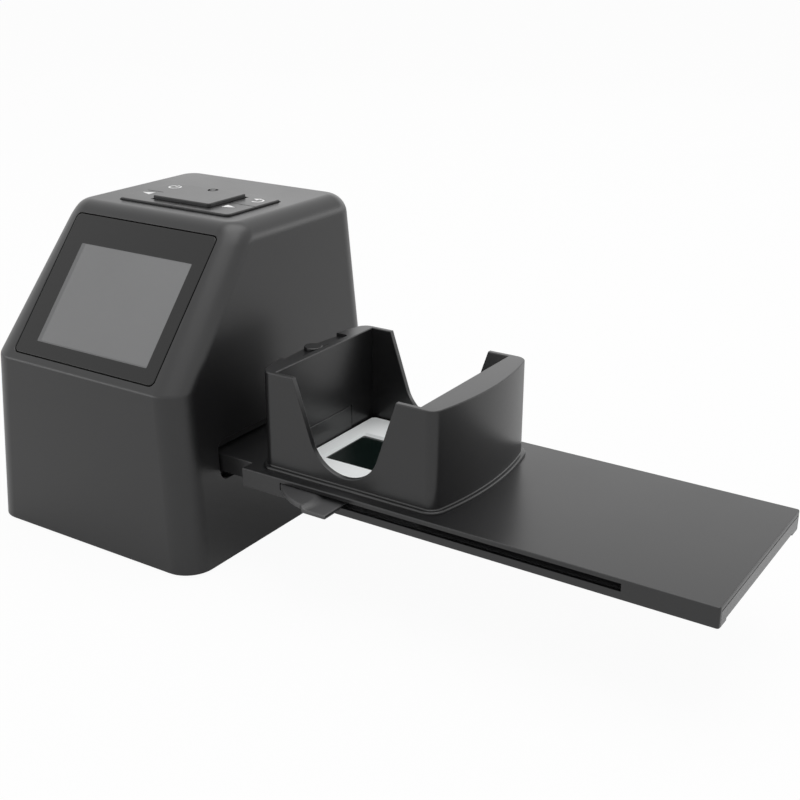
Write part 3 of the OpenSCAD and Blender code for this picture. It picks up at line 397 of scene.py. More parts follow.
def tube(rings):
    """A closed surface through rings where the last ring joins the first."""
    rings = np.asarray(rings)
    m, n = rings.shape[:2]
    faces = quads(m + 1, n) % (m * n)
    return rings.reshape(-1, 3), faces.tolist()


def raised(outline, z):
    """An outline at height z, which may be one height or one for each point."""
    return np.column_stack([outline, np.broadcast_to(z, len(outline))])


def prism(outline, profile):
    """An outline carried up a profile of inset and height."""
    return stack([raised(move_in(outline, inset), z) for inset, z in profile])


def collar(outer, inner, z0, z1, r):
    """A plate with a hole: up the outer outline, over the rounded rim and down the hole."""
    profile = edge_profile(z0, z1, r, r)
    rings = [raised(move_in(outer, inset), z) for inset, z in profile]
    rings += [raised(move_in(inner, -inset), z) for inset, z in profile[::-1]]
    return tube(rings)


def chamfered(outer, inner, z0, z1, r=0.2, lean=0.7, step=0.1):
    """A plate with a hole whose wall goes up by the step and then leans back by lean."""
    rings = [raised(move_in(outer, inset), z) for inset, z in edge_profile(z0, z1, r, r)]
    rings += [raised(move_in(inner, -lean), z1), raised(inner, z0 + step), raised(inner, z0)]
    return tube(rings)


def block(low, high):
    """A box between two corners."""
    (x0, y0, z0), (x1, y1, z1) = low, high
    outline = np.array([[x0, y0], [x1, y0], [x1, y1], [x0, y1]], float)
    return stack([raised(outline, z0), raised(outline, z1)])


def moved(solid, x, y, z):
    """A solid's points moved by x, y and z."""
    points, faces = solid
    return np.asarray(points) + [x, y, z], faces


def placed(solid, origin, x_axis, y_axis, z_axis):
    """A solid's points carried to axes that stand at an origin."""
    points, faces = solid
    axes = np.array([x_axis, y_axis, z_axis], float)
    return np.asarray(points) @ axes + np.asarray(origin, float), faces


def joined(*solids):
    """Several solids as one list of points and faces."""
    points, faces, start = [], [], 0
    for solid_points, solid_faces in solids:
        points.append(np.asarray(solid_points))
        faces += [[start + k for k in face] for face in solid_faces]
        start += len(solid_points)
    return np.concatenate(points), faces


def smooth_step(t):
    """From 0 to 1 with level ends: three t squared less two t cubed."""
    t = np.clip(t, 0, 1)
    return t * t * (3 - 2 * t)


# ----- Objects -----

def linked(name, data):
    """A new object of the scene that shows the given data."""
    obj = bpy.data.objects.new(name, data)
    bpy.context.scene.collection.objects.link(obj)
    return obj


def new_object(name, solid, material=None):
    """A mesh object from points in millimetres and faces."""
    points, faces = solid
    mesh = bpy.data.meshes.new(name)
    mesh.from_pydata(row_points(points).tolist(), [], faces)
    mesh.validate()
    if material:
        mesh.materials.append(material)
    return linked(name, mesh)


def settle(obj):
    """Applies the object's modifiers to its mesh."""
    graph = bpy.context.evaluated_depsgraph_get()
    mesh = bpy.data.meshes.new_from_object(obj.evaluated_get(graph))
    old = obj.data
    obj.modifiers.clear()
    obj.data = mesh
    bpy.data.meshes.remove(old)
    mesh.name = obj.name


def cut(obj, *cutters):
    """Takes each cutter's solid out of the object."""
    for index, solid in enumerate(cutters):
        cutter = new_object(f"cutter_{index}", solid)
        change = obj.modifiers.new("cut", "BOOLEAN")
        change.operation = "DIFFERENCE"
        change.solver = "EXACT"
        change.object = cutter
        settle(obj)
        bpy.data.objects.remove(cutter)


def shade(obj, angle):
    """Smooth shading with sharp edges over the angle, normals weighted by face area."""
    mesh = obj.data
    mesh.polygons.foreach_set("use_smooth", np.ones(len(mesh.polygons), bool))
    mesh.set_sharp_from_angle(angle=math.radians(angle))
    change = obj.modifiers.new("weights", "WEIGHTED_NORMAL")
    change.keep_sharp = True
    settle(obj)


def mount_piece(obj, body, slot, *nodes):
    """The piece rides on a body and stands for frame nodes, which are hidden. The slot is not
    used.
    """
    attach(obj, body)
    if nodes:
        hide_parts(*nodes)


def add_piece(name, solid, material, body, slot, *nodes, cutters=(), angle=32):
    """A smooth piece of the model: a solid less its cutters, mounted on its body."""
    obj = new_object(name, solid, material)
    cut(obj, *cutters)
    shade(obj, angle)
    mount_piece(obj, body, slot, *nodes)


# ----- Materials -----

ROUGH_SPREAD = 0.05
LEAST_ROUGH = 0.02
HOUSING_ROUGH = 0.33
FEEDER_ROUGH = 0.30
END_ROUGH = 0.25
PUSHER_ROUGH = 0.45
BASE_ROUGH = 0.5
BASE_COLOUR = (0.025, 0.025, 0.026)


def noise(tree, size, detail, rough=0.5):
    """A noise of the given size in metres on Object coordinates."""
    place = tree.nodes.new("ShaderNodeTexCoord")
    cloud = tree.nodes.new("ShaderNodeTexNoise")
    cloud.inputs["Scale"].default_value = 1 / size
    cloud.inputs["Detail"].default_value = detail
    cloud.inputs["Roughness"].default_value = rough
    tree.links.new(place.outputs["Object"], cloud.inputs["Vector"])
    return cloud.outputs["Fac"]


def finish(name, colour, rough, grain=0.0, depth=0.0, patch=0.03, shift=0.06, metal=0.0,
           coat=0.0, through=0.0, ior=1.58):
    """A procedural finish: fine grain as bump, soft patches in roughness and in colour."""
    made = bpy.data.materials.get(name)
    if made:
        return made
    material = bpy.data.materials.new(name)
    material.use_nodes = True
    tree = material.node_tree
    nodes, links = tree.nodes, tree.links
    shader = nodes["Principled BSDF"]
    shader.inputs["Metallic"].default_value = metal
    shader.inputs["Coat Weight"].default_value = coat
    shader.inputs["Transmission Weight"].default_value = through
    shader.inputs["IOR"].default_value = ior
    cloud = noise(tree, patch, 4.0)
    tint = nodes.new("ShaderNodeMix")
    tint.data_type = "RGBA"
    tint.inputs["A"].default_value = (*[c * (1 - shift) for c in colour], 1)
    tint.inputs["B"].default_value = (*[min(c * (1 + shift), 1) for c in colour], 1)
    links.new(cloud, tint.inputs["Factor"])
    links.new(tint.outputs["Result"], shader.inputs["Base Color"])
    spread = nodes.new("ShaderNodeMapRange")
    spread.inputs["To Min"].default_value = max(rough - ROUGH_SPREAD, LEAST_ROUGH)
    spread.inputs["To Max"].default_value = min(rough + ROUGH_SPREAD, 1.0)
    links.new(cloud, spread.inputs["Value"])
    links.new(spread.outputs["Result"], shader.inputs["Roughness"])
    if depth:
        bump = nodes.new("ShaderNodeBump")
        bump.inputs["Strength"].default_value = 0.5
        bump.inputs["Distance"].default_value = depth
        links.new(noise(tree, grain, 3.0, 0.6), bump.inputs["Height"])
        links.new(bump.outputs["Normal"], shader.inputs["Normal"])
    return material


def grained(name, colour, rough):
    """A moulded plastic with the grain that the look gives."""
    settings = look()
    return finish(name, colour, rough, settings.grain_size, settings.grain_depth)


def feeder_plastic():
    return grained("feeder_plastic", look().feeder_colour, FEEDER_ROUGH)


def dress(names, material):
    """Gives frame nodes a finish."""
    for name in names:
        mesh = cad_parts[name].data
        mesh.materials.clear()
        mesh.materials.append(material)


# ----- Tower -----

def drop(z, inset):
    """How far the top edge's arc has moved a wall in at height z."""
    up = z - (TOWER_H - TOP_R)
    r = max(TOP_R - inset, LEAST_TOP_R)
    return 0.0 if up <= 0 else r - math.sqrt(max(r * r - up * up, 0.0))


def front_line(z, inset):
    """Where the leaning front wall stands at height z, moved inward by inset."""
    return z * math.tan(FRONT_DRAFT) + inset / math.cos(FRONT_DRAFT)


def slope_line(z, inset):
    """Where the display slope stands at height z, moved inward by inset."""
    return CREASE_Y + (z - FRONT_H) / math.tan(SLOPE) + inset / math.sin(SLOPE)


def crease_z(inset):
    """Height where the front plane meets the slope plane when both move inward."""
    run = 1 / math.tan(SLOPE)
    lean = math.tan(FRONT_DRAFT)
    return (CREASE_Y - FRONT_H * run + inset / math.sin(SLOPE)
            - inset / math.cos(FRONT_DRAFT)) / (lean - run)


def front_arcs(inset):
    """Radii of the crease and of the top edge, moved inward, and their centres' heights."""
    crease_r = max(CREASE_R - inset, LEAST_CREASE_R)
    top_r = max(TOP_R - inset, LEAST_TOP_R)
    return crease_r, top_r, crease_z(inset + crease_r), TOWER_H - inset - top_r


def front_y(z, inset):
    """Front edge at height z: leaning wall, crease arc, slope, then the top's arc."""
    crease_r, top_r, crease_mid, top_mid = front_arcs(inset)
    if z < crease_mid + crease_r * math.sin(FRONT_DRAFT):
        return front_line(z, inset)
    if z < crease_mid + crease_r * math.cos(SLOPE):
        fall = math.sqrt(crease_r * crease_r - (z - crease_mid) ** 2)
        return front_line(crease_mid, inset + crease_r) - fall
    if z < top_mid + top_r * math.cos(SLOPE):
        return slope_line(z, inset)
    fall = math.sqrt(max(top_r * top_r - (z - top_mid) ** 2, 0.0))
    return slope_line(top_mid, inset + top_r) - fall


def shell_levels(inset, fine):
    """Heights of the rings from the foot up, close together where the outline turns."""
    crease_r, top_r, crease_mid, top_mid = front_arcs(inset)
    turn = math.pi / 2 - SLOPE
    steps = np.linspace(0, 1, fine)
    return np.concatenate([
        np.linspace(0.0, crease_mid, 5)[:-1],
        crease_mid + crease_r * np.sin(FRONT_DRAFT + (turn - FRONT_DRAFT) * steps),
        np.linspace(crease_mid + crease_r, top_mid, 6)[1:-1],
        top_mid + top_r * np.sin(turn * steps),
        top_mid + top_r * np.sin(turn + SLOPE * steps[1:])])


def shell_rings(inset, fine=9, corner=13):
    """Level rings of the shell: rectangles with round corners whose half width, front and
    rear follow the leaning walls, each moved in by the top edge's arc."""
    rings = []
    for z in shell_levels(inset, fine):
        fall = drop(z, inset)
        half = TOWER_W / 2 - z * math.tan(SIDE_DRAFT) - inset / math.cos(SIDE_DRAFT) - fall
        rear = TOWER_D - z * math.tan(REAR_DRAFT) - inset / math.cos(REAR_DRAFT) - fall
        r = max(CORNER_R - inset - fall, LEAST_CORNER_R)
        outline = round_rect(TOWER_X - half, TOWER_X + half, front_y(z, inset), rear, r, corner)
        rings.append(raised(outline, z))
    return rings


def lipped(outline, depth, height, lip):
    """A cutter whose hole has a rounded lip of the given size at height 0."""
    a = np.radians(np.linspace(0, 90, 5))
    profile = [(0.0, -depth)]
    profile += [(-lip * (1 - math.cos(t)), -lip * (1 - math.sin(t))) for t in a]
    profile.append((-lip, height))
    return prism(outline, profile)


def on_slope(solid):
    """From the display slope (X right, Y up the slope, Z outward) to the tower."""
    c, s = math.cos(SLOPE), math.sin(SLOPE)
    return placed(solid, (TOWER_X, CREASE_Y, FRONT_H), (1, 0, 0), (0, c, s), (0, -s, c))


def on_side(solid, side):
    """From a side wall (X along it, Y up, Z outward) to the tower; side is 1 or -1."""
    c, s = math.cos(SIDE_DRAFT), math.sin(SIDE_DRAFT)
    origin = (0.0 if side > 0 else -TOWER_W, 0.0, 0.0)
    return placed(solid, origin, (0, side, 0), (-side * s, 0, c), (side * c, 0, s))


def on_rear(solid):
    """From the rear wall (X to the left, Y up, Z outward) to the tower."""
    c, s = math.cos(REAR_DRAFT), math.sin(REAR_DRAFT)
    return placed(solid, (0.0, TOWER_D, 0.0), (-1, 0, 0), (0, -s, c), (0, c, s))


def socket_cutters():
    """Holes round the three sockets in the rear wall."""
    cutters = []
    for node, corner_r in SOCKET_HOLES.items():
        low, high = local_box(node)
        x0, x1 = -high[0] - SOCKET_GAP, -low[0] + SOCKET_GAP
        z0, z1 = low[2] - SOCKET_GAP, high[2] + SOCKET_GAP
        r = corner_r or (x1 - x0) / 2 - 0.01
        hole = lipped(round_rect(x0, x1, z0, z1, r), FAR_OVER, SOCKET_OUT, SOCKET_LIP)
        cutters.append(on_rear(hole))
    return cutters


def opening_cutter(side):
    """The film opening in a side wall, over the channel of the tray."""
    half = TONGUE_W / 2 + OPENING_SIDE
    middle = side * WELL_Y
    outline = round_rect(middle - half, middle + half, TRAY_Z - OPENING_LOW,
                         TRAY_TOP + OPENING_HIGH, OPENING_R)
    return on_side(lipped(outline, OPENING_DEPTH, FAR_OVER, OPENING_LIP), side)


class SCANNER_OT_housing(Operator):
    """The tower's shell with its window recess and openings."""
    bl_idname = "scanner.housing"
    bl_label = "Tower housing"

    def execute(self, context):
        shell = stack(shell_rings(WALL)[::-1] + shell_rings(0.0))
        plastic = grained("housing_plastic", look().housing_colour, HOUSING_ROUGH)
        window = centred_rect(WINDOW[0] + 2 * WINDOW_GAP, WINDOW[1] + 2 * WINDOW_GAP,
                              WINDOW_RECESS_R) + [0, WINDOW_UP + WINDOW[1] / 2]
        pad = centred_rect(PAD[0] + 2 * KEY_GAP, PAD[1] + 2 * KEY_GAP, PAD_R) + [PAD_X, PAD_Y]
        cutters = [
            on_slope(lipped(window, WINDOW_T + WINDOW_SEAT, FAR_OVER, RECESS_LIP)),
            moved(lipped(pad, FAR_OVER, FAR_OVER, RECESS_LIP), 0, 0, TOWER_H),
            opening_cutter(1), opening_cutter(-1), *socket_cutters()]
        add_piece("tower_housing", shell, plastic, "tower", "housing_black", "main_housing",
                  cutters=cutters)
        return {"FINISHED"}


class SCANNER_OT_display(Operator):
    """The flush display window with the dark picture area behind it and a painted shadow strip
    round that area.
    """
    bl_idname = "scanner.display"
    bl_label = "Display window"

    def execute(self, context):
        settings = look()
        border = finish("window_border", settings.window_colour, **WINDOW_FINISH)
        picture = finish("picture_area", settings.picture_colour, **PICTURE_FINISH)
        # A darker grey strip round the picture area is painted shade: the window mask's shadow
        # on the display
        painted_shadow = finish("picture_painted_shadow", **PAINTED_SHADOW_FINISH)
        outline = centred_rect(*WINDOW, WINDOW_R) + [0, WINDOW_UP + WINDOW[1] / 2]
        area = centred_rect(*PICTURE, PICTURE_R) + [
            PICTURE_RIGHT, WINDOW_UP + PICTURE_UP + PICTURE[1] / 2]
        x0, y0 = area.min(0)
        x1, y1 = area.max(0)
        lit = round_rect(x0 + PAINTED_SHADOW_LEFT, x1 - STRIP, y0 + PAINTED_SHADOW_LOW, y1 - STRIP, PICTURE_R)
        profile = edge_profile(-WINDOW_T, 0.0, SMALL_R, WINDOW_EDGE)
        rings = [raised(move_in(outline, inset), z) for inset, z in profile]
        rings += [raised(area, 0.0), raised(area, -PICTURE_SINK), raised(lit, -PICTURE_SINK)]
        obj = new_object("display_front", on_slope(stack(rings)), border)
        obj.data.materials.append(picture)
        obj.data.materials.append(painted_shadow)
        # The last face is the picture, and the ring before the two caps is the painted shadow
        # strip
        slots = np.zeros(len(obj.data.polygons), int)
        slots[-2 - len(area):-2] = 2
        slots[-1] = 1
        obj.data.polygons.foreach_set("material_index", slots)
        shade(obj, 32)
        mount_piece(obj, "tower", "window_gloss", "display_window")
        return {"FINISHED"}


# ----- Keys -----

def ring_sign(x, y, r, width, gap):
    """A ring, open by the gap in degrees at its top, as a closed strip."""
    outer = arc(x, y, r + width / 2, 90 + gap / 2, 450 - gap / 2, 33)
    inner = arc(x, y, r - width / 2, 450 - gap / 2, 90 + gap / 2, 33)
    return np.concatenate([outer, inner])


def flat_sign(outline, z):
    """A printed sign: its outline as a thin plate on the key."""
    return stack([raised(outline, z - SIGN_SINK), raised(outline, z + SIGN_RISE)])


def key_outline(side_x, side_y):
    """A quarter of the key group less the middle key: an angle with a round outer corner."""
    x0, x1, y0, y1 = HALF_SEAM, PAD[0] / 2, HALF_SEAM, PAD[1] / 2
    mid_x, mid_y = OK_KEY[0] / 2 + KEY_GAP, OK_KEY[1] / 2 + KEY_GAP
    points = np.concatenate([
        [[mid_x, y0], [x1, y0]], arc(x1 - PAD_R, y1 - PAD_R, PAD_R, 0, 90, 7),
        [[x0, y1], [x0, mid_y], [mid_x, mid_y]]])
    points = points * [side_x, side_y]
    return points[::-1] if side_x * side_y < 0 else points


def key_signs():
    """Each key's sign as outlines, measured from the middle of the key group."""
    bar = np.array([[-0.3, 0.2], [0.3, 0.2], [0.3, 2.5], [-0.3, 2.5]])
    wedge = np.array([[-2.4, 0.0], [2.0, -1.7], [2.0, 1.7]])
    hook = np.concatenate([arc(0, 0, HOOK_R[0], -HOOK_TURN, HOOK_TURN, 25),
                           arc(0, 0, HOOK_R[1], HOOK_TURN, -HOOK_TURN, 25)])
    head = np.array([[-3.0, 1.75], [-0.7, 0.4], [-0.7, 3.1]])
    ring = ring_sign(*POWER_AT, POWER_R, POWER_WIDTH, POWER_GAP)
    return {
        "power_key": [ring, bar + POWER_AT],
        "left_key": [wedge + LEFT_AT],
        "right_key": [(wedge * [-1, 1])[::-1] + RIGHT_AT],
        "return_key": [hook + RETURN_AT, head + RETURN_AT],
    }


def add_cap(node, body, outline, face_z, cutters=()):
    """A key's cap: an outline round the key group's middle, raised to a rounded face."""
    foot_z = local_box(node)[0][2] + KEY_FOOT
    solid = prism(outline, edge_profile(foot_z, face_z, SMALL_R, KEY_EDGE))
    plastic = grained("key_plastic", look().housing_colour, HOUSING_ROUGH)
    add_piece(f"{node}_cap", moved(solid, PAD_X, PAD_Y, 0), plastic, body, "key_black", node,
              cutters=cutters)


class SCANNER_OT_keys(Operator):
    """The four angle-shaped keys round the raised middle key, with their signs."""
    bl_idname = "scanner.keys"
    bl_label = "Keys"

    def execute(self, context):
        ink = finish("key_print", look().print_colour, rough=0.5, patch=0.004)
        corners = {"power_key": ("rear_left_key", -1, 1), "return_key": ("rear_right_key", 1, 1),
                   "left_key": ("front_left_key", -1, -1),
                   "right_key": ("front_right_key", 1, -1)}
        signs = key_signs()
        top = TOWER_H + PAD_OUT
        for node, (body, side_x, side_y) in corners.items():
            add_cap(node, body, key_outline(side_x, side_y), top)
            solid = joined(*[flat_sign(sign, top) for sign in signs[node]])
            mark = new_object(f"{node}_sign", moved(solid, PAD_X, PAD_Y, 0), ink)
            mount_piece(mark, body, "key_black")
        ring = collar(disc(RING_R[0]), disc(RING_R[1]), -RING_DEEP, RING_DEEP, FINE_R)
        ring = moved(ring, PAD_X + RING_AT[0], PAD_Y + RING_AT[1], top + OK_OUT)
        add_cap("ok_key", "middle_key", centred_rect(*OK_KEY, OK_R), top + OK_OUT, [ring])
        return {"FINISHED"}


# ----- Feeder -----

def feeder_outline(r=TRAY_R):
    """Plan of the feeder: the narrow tongue on the left, the wide tray on the right."""
    return np.concatenate([
        [[TONGUE_X, TONGUE_Y1], [TONGUE_X, TONGUE_Y0], [SHOULDER_X, TONGUE_Y0],
         [SHOULDER_X, TRAY_Y0]],
        arc(REACH - r, TRAY_Y0 + r, r, -90, 0, 7), arc(REACH - r, TRAY_Y1 - r, r, 0, 90, 7),
        [[SHOULDER_X, TRAY_Y1], [SHOULDER_X, TONGUE_Y1]]])


def tray_cutters():
    """The channel from below, its two open ends, the pusher's slot, the well and the gate."""
    channel = move_in(feeder_outline(SKIRT + CHANNEL_R), SKIRT)
    under = TRAY_Z - OVER
    past_top = TRAY_TOP + OVER
    end_y0, end_y1 = TRAY_Y0 + SKIRT, TRAY_Y1 - SKIRT
    half = WELL / 2
    gate_w, gate_d = GATE[0] / 2, GATE[1] / 2
    return [
        stack([raised(channel, under), raised(channel, CHANNEL_Z1)]),
        block((REACH - END_OPEN, end_y0, under), (REACH + OVER, end_y1, CHANNEL_Z1)),
        block((TONGUE_X - OVER, TONGUE_Y0 + SKIRT, under),
              (TONGUE_X + TONGUE_OPEN, TONGUE_Y1 - SKIRT, CHANNEL_Z1)),
        block((SLOT_X0, TRAY_Y0 - OVER, FLOOR_Z), (SLOT_X1, end_y0 + OVER, CHANNEL_Z1)),
        block((WELL_X - half, WELL_Y - half, TRAY_Z), (WELL_X + half, WELL_Y + half, past_top)),
        block((GATE_X - gate_w, WELL_Y - gate_d, TRAY_Z),
              (GATE_X + gate_w, WELL_Y + gate_d, past_top)),
    ]


class SCANNER_OT_tray(Operator):
    """The feeder's cover: top, side walls, well opening and the pusher's slot."""
    bl_idname = "scanner.tray"
    bl_label = "Feeder tray"

    def execute(self, context):
        edge = look().edge_radius / MM
        solid = prism(feeder_outline(), edge_profile(TRAY_Z, TRAY_TOP, TRAY_FOOT_R, edge))
        add_piece("tray_cover", solid, feeder_plastic(), "feeder", "feeder_black",
                  "feeder_cover", cutters=tray_cutters(), angle=25)
        # The base takes the lighter copy of the feeder's plastic, painted light for the tray's
        # bright end face
        dress(["feeder_base"], grained("end_painted_light", look().end_painted_light_colour, END_ROUGH))
        return {"FINISHED"}


def side_curve(half, edge_r):
    """Plan of the hopper's right side about its middle: a shallow arc with round ends."""
    r = (half * half + SIDE_BULGE ** 2) / (2 * SIDE_BULGE)
    turn = math.degrees(math.asin((half - edge_r) / (r - edge_r)))
    edge_x = (r - edge_r) * math.cos(math.radians(turn)) - r
    return np.concatenate([
        arc(edge_x, edge_r - half, edge_r, -90, -turn, 7)[:-1],
        arc(-r, 0, r, -turn, turn, 33),
        arc(edge_x, half - edge_r, edge_r, turn, 90, 7)[1:]])


def notch_curve():
    """Half of the finger notch from its lowest point outward: distance from the middle and
    height above the tray, along the round end and then up the straight flank."""
    rise = HOPPER_TOP - TRAY_TOP - NOTCH_UP - NOTCH_R
    reach = math.hypot(NOTCH_W / 2, rise)
    turn = math.atan2(rise, NOTCH_W / 2) - math.acos(NOTCH_R / reach)
    a = np.linspace(-math.pi / 2, turn, 22)
    round_end = np.stack([NOTCH_R * np.cos(a), NOTCH_UP + NOTCH_R * (1 + np.sin(a))], 1)
    flank = np.linspace(round_end[-1], [NOTCH_W / 2, NOTCH_UP + NOTCH_R + rise], 18)
    return np.concatenate([round_end, flank[1:]])


def notched_wall(top):
    """Distances from the hopper's middle along a notched wall, and its top at each."""
    half_notch = notch_curve()
    ends = np.array(NOTCH_ENDS)
    level = np.full(len(ends), top)
    xs = np.concatenate([-NOTCH_W / 2 - ends[::-1], -half_notch[::-1, 0],
                         half_notch[1:, 0], NOTCH_W / 2 + ends])
    heights = np.concatenate([level, half_notch[::-1, 1], half_notch[1:, 1], level])
    return xs, heights


def hopper_loops():
    """The hopper seen from above as two loops of equal count, the well's wall inside and
    the bulging wall outside, and the height of the wall's top at each point of them. Both
    go from the front wall's left end round by the right side, the rear and the left."""
    half = WELL / 2
    outer_half = half + HOPPER_WALL
    side = side_curve(outer_half, HOPPER_R)
    right = side + [WELL_X + half + RIGHT_SIDE + SIDE_BULGE, WELL_Y]
    left = -side + [HOPPER_LEFT, WELL_Y]
    xs, heights = notched_wall(HOPPER_TOP - TRAY_TOP)
    well_x = np.concatenate([[-half], xs, [half]]) + WELL_X
    face_x = np.concatenate([[left[-1, 0]], xs + WELL_X, [right[0, 0]]])
    top = np.concatenate([heights[:1], heights, heights[-1:]])
    side_y = side[1:-1, 1] * half / outer_half + WELL_Y
    level = np.full(len(side_y), heights[0])

    def line(x, y):
        return np.column_stack(np.broadcast_arrays(x, y))

    inner = np.concatenate([
        line(well_x, WELL_Y - half), line(WELL_X + half, side_y),
        line(well_x[::-1], WELL_Y + half), line(WELL_X - half, side_y[::-1])])
    outer = np.concatenate([
        line(face_x, WELL_Y - outer_half), right[1:-1],
        line(face_x[::-1], WELL_Y + outer_half), left[1:-1]])
    return inner, outer, np.concatenate([top, level, top[::-1], level]) + TRAY_TOP


def hopper_solid(edge):
    """Each upright section is a wall: up the foot rim and the outer face, over the rounded
    top and down the well. The sections follow the two loops and their top height."""
    inner, outer, top = hopper_loops()
    away = outer - inner
    away = away / np.linalg.norm(away, axis=1, keepdims=True)
    out = outer - move_in(outer, 1.0)
    lip_z = TRAY_TOP + LIP_T
    rings = [raised(outer + out * LIP_W, TRAY_TOP)]
    a = np.radians(np.linspace(0, 90, 5))
    short, gone = 1 - np.cos(a), 1 - np.sin(a)
    for c, s in zip(short, gone):
        rings.append(raised(outer + out * (LIP_W - LIP_R * c), lip_z - LIP_R * s))
    for c, s in zip(short, gone):
        rings.append(raised(outer + out * LIP_FILLET * s, lip_z + LIP_FILLET * c))
    for c, s in zip(short, gone):
        rings.append(raised(outer - out * edge * c, top - edge * s))
    for c, s in zip(short[::-1], gone[::-1]):
        rings.append(raised(inner + away * edge * c, top - edge * s))
    rings.append(raised(inner, TRAY_TOP))
    return tube(rings)


def catch_cutters():
    """The recess in the hopper's left top, the groove beside the panel and two slots."""
    past_top = HOPPER_TOP + OVER
    panel_y1 = WELL_Y + PANEL_W / 2
    recess = round_rect(HOPPER_LEFT - OVER, WELL_X0 - RECESS_IN,
                        WELL_Y - RECESS_W / 2, WELL_Y + RECESS_W / 2, RECESS_R)
    width, depth = PANEL_GROOVE
    groove = block((WELL_X0 - depth, panel_y1, TRAY_TOP - OVER),
                   (WELL_X0 + OVER, panel_y1 + width, PANEL_TOP))
    cutters = [prism(recess, [(0, HOPPER_TOP - RECESS_DEEP), (0, past_top)]), groove]
    for side in (-1, 1):
        middle = [WELL_X0 - CATCH_SLOT_IN, WELL_Y + side * CATCH_SLOT_APART / 2]
        outline = centred_rect(*CATCH_SLOT, CATCH_SLOT_R) + middle
        cutters.append(prism(outline, [(0, HOPPER_TOP - CATCH_SLOT_DEEP), (0, past_top)]))
    return cutters


class SCANNER_OT_hopper(Operator):
    """The hopper with its bulging sides, finger notches and foot rim, the raised panel in
    its well and the stud of the catch."""
    bl_idname = "scanner.hopper"
    bl_label = "Hopper"

    def execute(self, context):
        solid = hopper_solid(look().edge_radius / MM)
        add_piece("slide_hopper", solid, feeder_plastic(), "feeder", "feeder_black", "hopper",
                  cutters=catch_cutters(), angle=28)
        panel = round_rect(WELL_Y - PANEL_W / 2, WELL_Y + PANEL_W / 2,
                           TRAY_TOP + PANEL_FOOT, PANEL_TOP, PANEL_R)
        ledge = placed(prism(panel, edge_profile(-PANEL_BACK, PANEL_OUT, FINE_R, PANEL_EDGE)),
                       (WELL_X0, 0, 0), (0, 1, 0), (0, 0, 1), (1, 0, 0))
        stud = disc(STUD_R, HOPPER_LEFT + SIDE_BULGE / 2 + STUD_RIGHT, WELL_Y)
        boss = prism(stud, edge_profile(HOPPER_TOP - STUD_H, HOPPER_TOP, FINE_R, STUD_EDGE))
        for name, solid in (("catch_panel", ledge), ("catch_stud", boss)):
            add_piece(name, solid, feeder_plastic(), "feeder", "feeder_black")
        return {"FINISHED"}


# ----- Pusher -----

def flank_middle(start, end):
    """Middle of the flank's arc: on the chord's mid normal, by the root of the radius
    squared less a quarter of the chord squared."""
    chord = end - start
    span = np.linalg.norm(chord)
    normal = np.array([-chord[1], chord[0]]) / span
    return (start + end) / 2 + math.sqrt(FLANK_R ** 2 - span ** 2 / 4) * normal


def tab_plan(edge):
    """The thumb tab from above: where its sections stand, how far forward each one runs,
    along the flank's arc and then the tab's straight edge, and how much the right end's
    rounding takes off each."""
    x_left, tab_y = TAB_X0 - FLANK_L, PUSHER_LOW[1]
    bend = edge * np.sin(np.radians([0, 25, 50, 70, 90]))
    xs = np.concatenate([
        np.linspace(x_left, TAB_X0, 34), TAB_X0 + np.array(BANK),
        np.linspace(TAB_X0 + BANK_END, TAB_X1 - edge - TAB_END_IN, 6),
        TAB_X1 - edge + bend])
    middle = flank_middle(np.array([x_left, TRAY_Y0]), np.array([TAB_X0, tab_y + FLANK_IN]))
    arc_y = middle[1] - np.sqrt(np.maximum(FLANK_R ** 2 - (xs - middle[0]) ** 2, 0))
    start, length = FRONT_TURN
    front = arc_y + (tab_y - arc_y) * smooth_step((xs - TAB_X0 + start) / length)
    past = np.maximum(xs - TAB_X1 + edge, 0)
    shrink = edge - np.sqrt(np.maximum(edge ** 2 - past ** 2, 0))
    return xs, front, shrink


def tab_top(x, y, inset):
    """Height of the tab's top: it falls in a hollow curve from the flank to the thin tab."""
    foot_z = PUSHER_LOW[2]
    flank_z = PUSHER_HIGH[2]
    depth, run = HOLLOW
    hollow = depth * np.sin(math.pi * np.clip((y - PUSHER_LOW[1]) / run, 0, 1))
    start, length = TOP_TURN
    share = smooth_step((TAB_X0 + start + hollow - x) / length)
    return foot_z + TAB_T + (flank_z - foot_z - TAB_T) * share - inset


def tab_underside(x, y, inset):
    """Height of the tab's underside, which hangs lower outside the tray."""
    flank = smooth_step((TAB_X0 + LOW_TURN[0] - x) / LOW_TURN[1])
    outside = smooth_step((TRAY_Y0 - OUTSIDE_TURN[0] - y) / OUTSIDE_TURN[1])
    return PUSHER_LOW[2] + TAB_LOW - TAB_LOW * outside * (1 - flank) + inset


def tab_sections(edge, depths=14):
    """The pusher's thumb tab and its flank: upright sections from left to right. Each runs
    forward along the underside, round the front edge and back over the top."""
    x, y, inset = (values[:, None] for values in tab_plan(edge))
    back = MOUNT_LOW[1] + TAB_BACK
    low_y = back + (y + inset + edge - back) * np.linspace(0, 1, depths)
    high_y = low_y[:, ::-1]
    low = tab_underside(x, low_y, inset)
    high = tab_top(x, high_y, inset)
    a = np.radians(np.linspace(0, 90, 6))[None, 1:]
    bend_y = y + inset + edge * (1 - np.sin(a))
    bend_z = low[:, -1:] + edge * (1 - np.cos(a))
    r = np.minimum(edge, high[:, :1] - bend_z[:, -1:] - TAB_LEAST)
    rise_y = y + inset + r * (1 - np.cos(a))
    rise_z = high[:, :1] - r * (1 - np.sin(a))
    ys = np.concatenate([low_y, bend_y, rise_y[:, :-1], high_y], 1)
    zs = np.concatenate([low, bend_z, rise_z[:, :-1], high], 1)
    return np.stack([np.broadcast_to(x, ys.shape), ys, zs], -1)


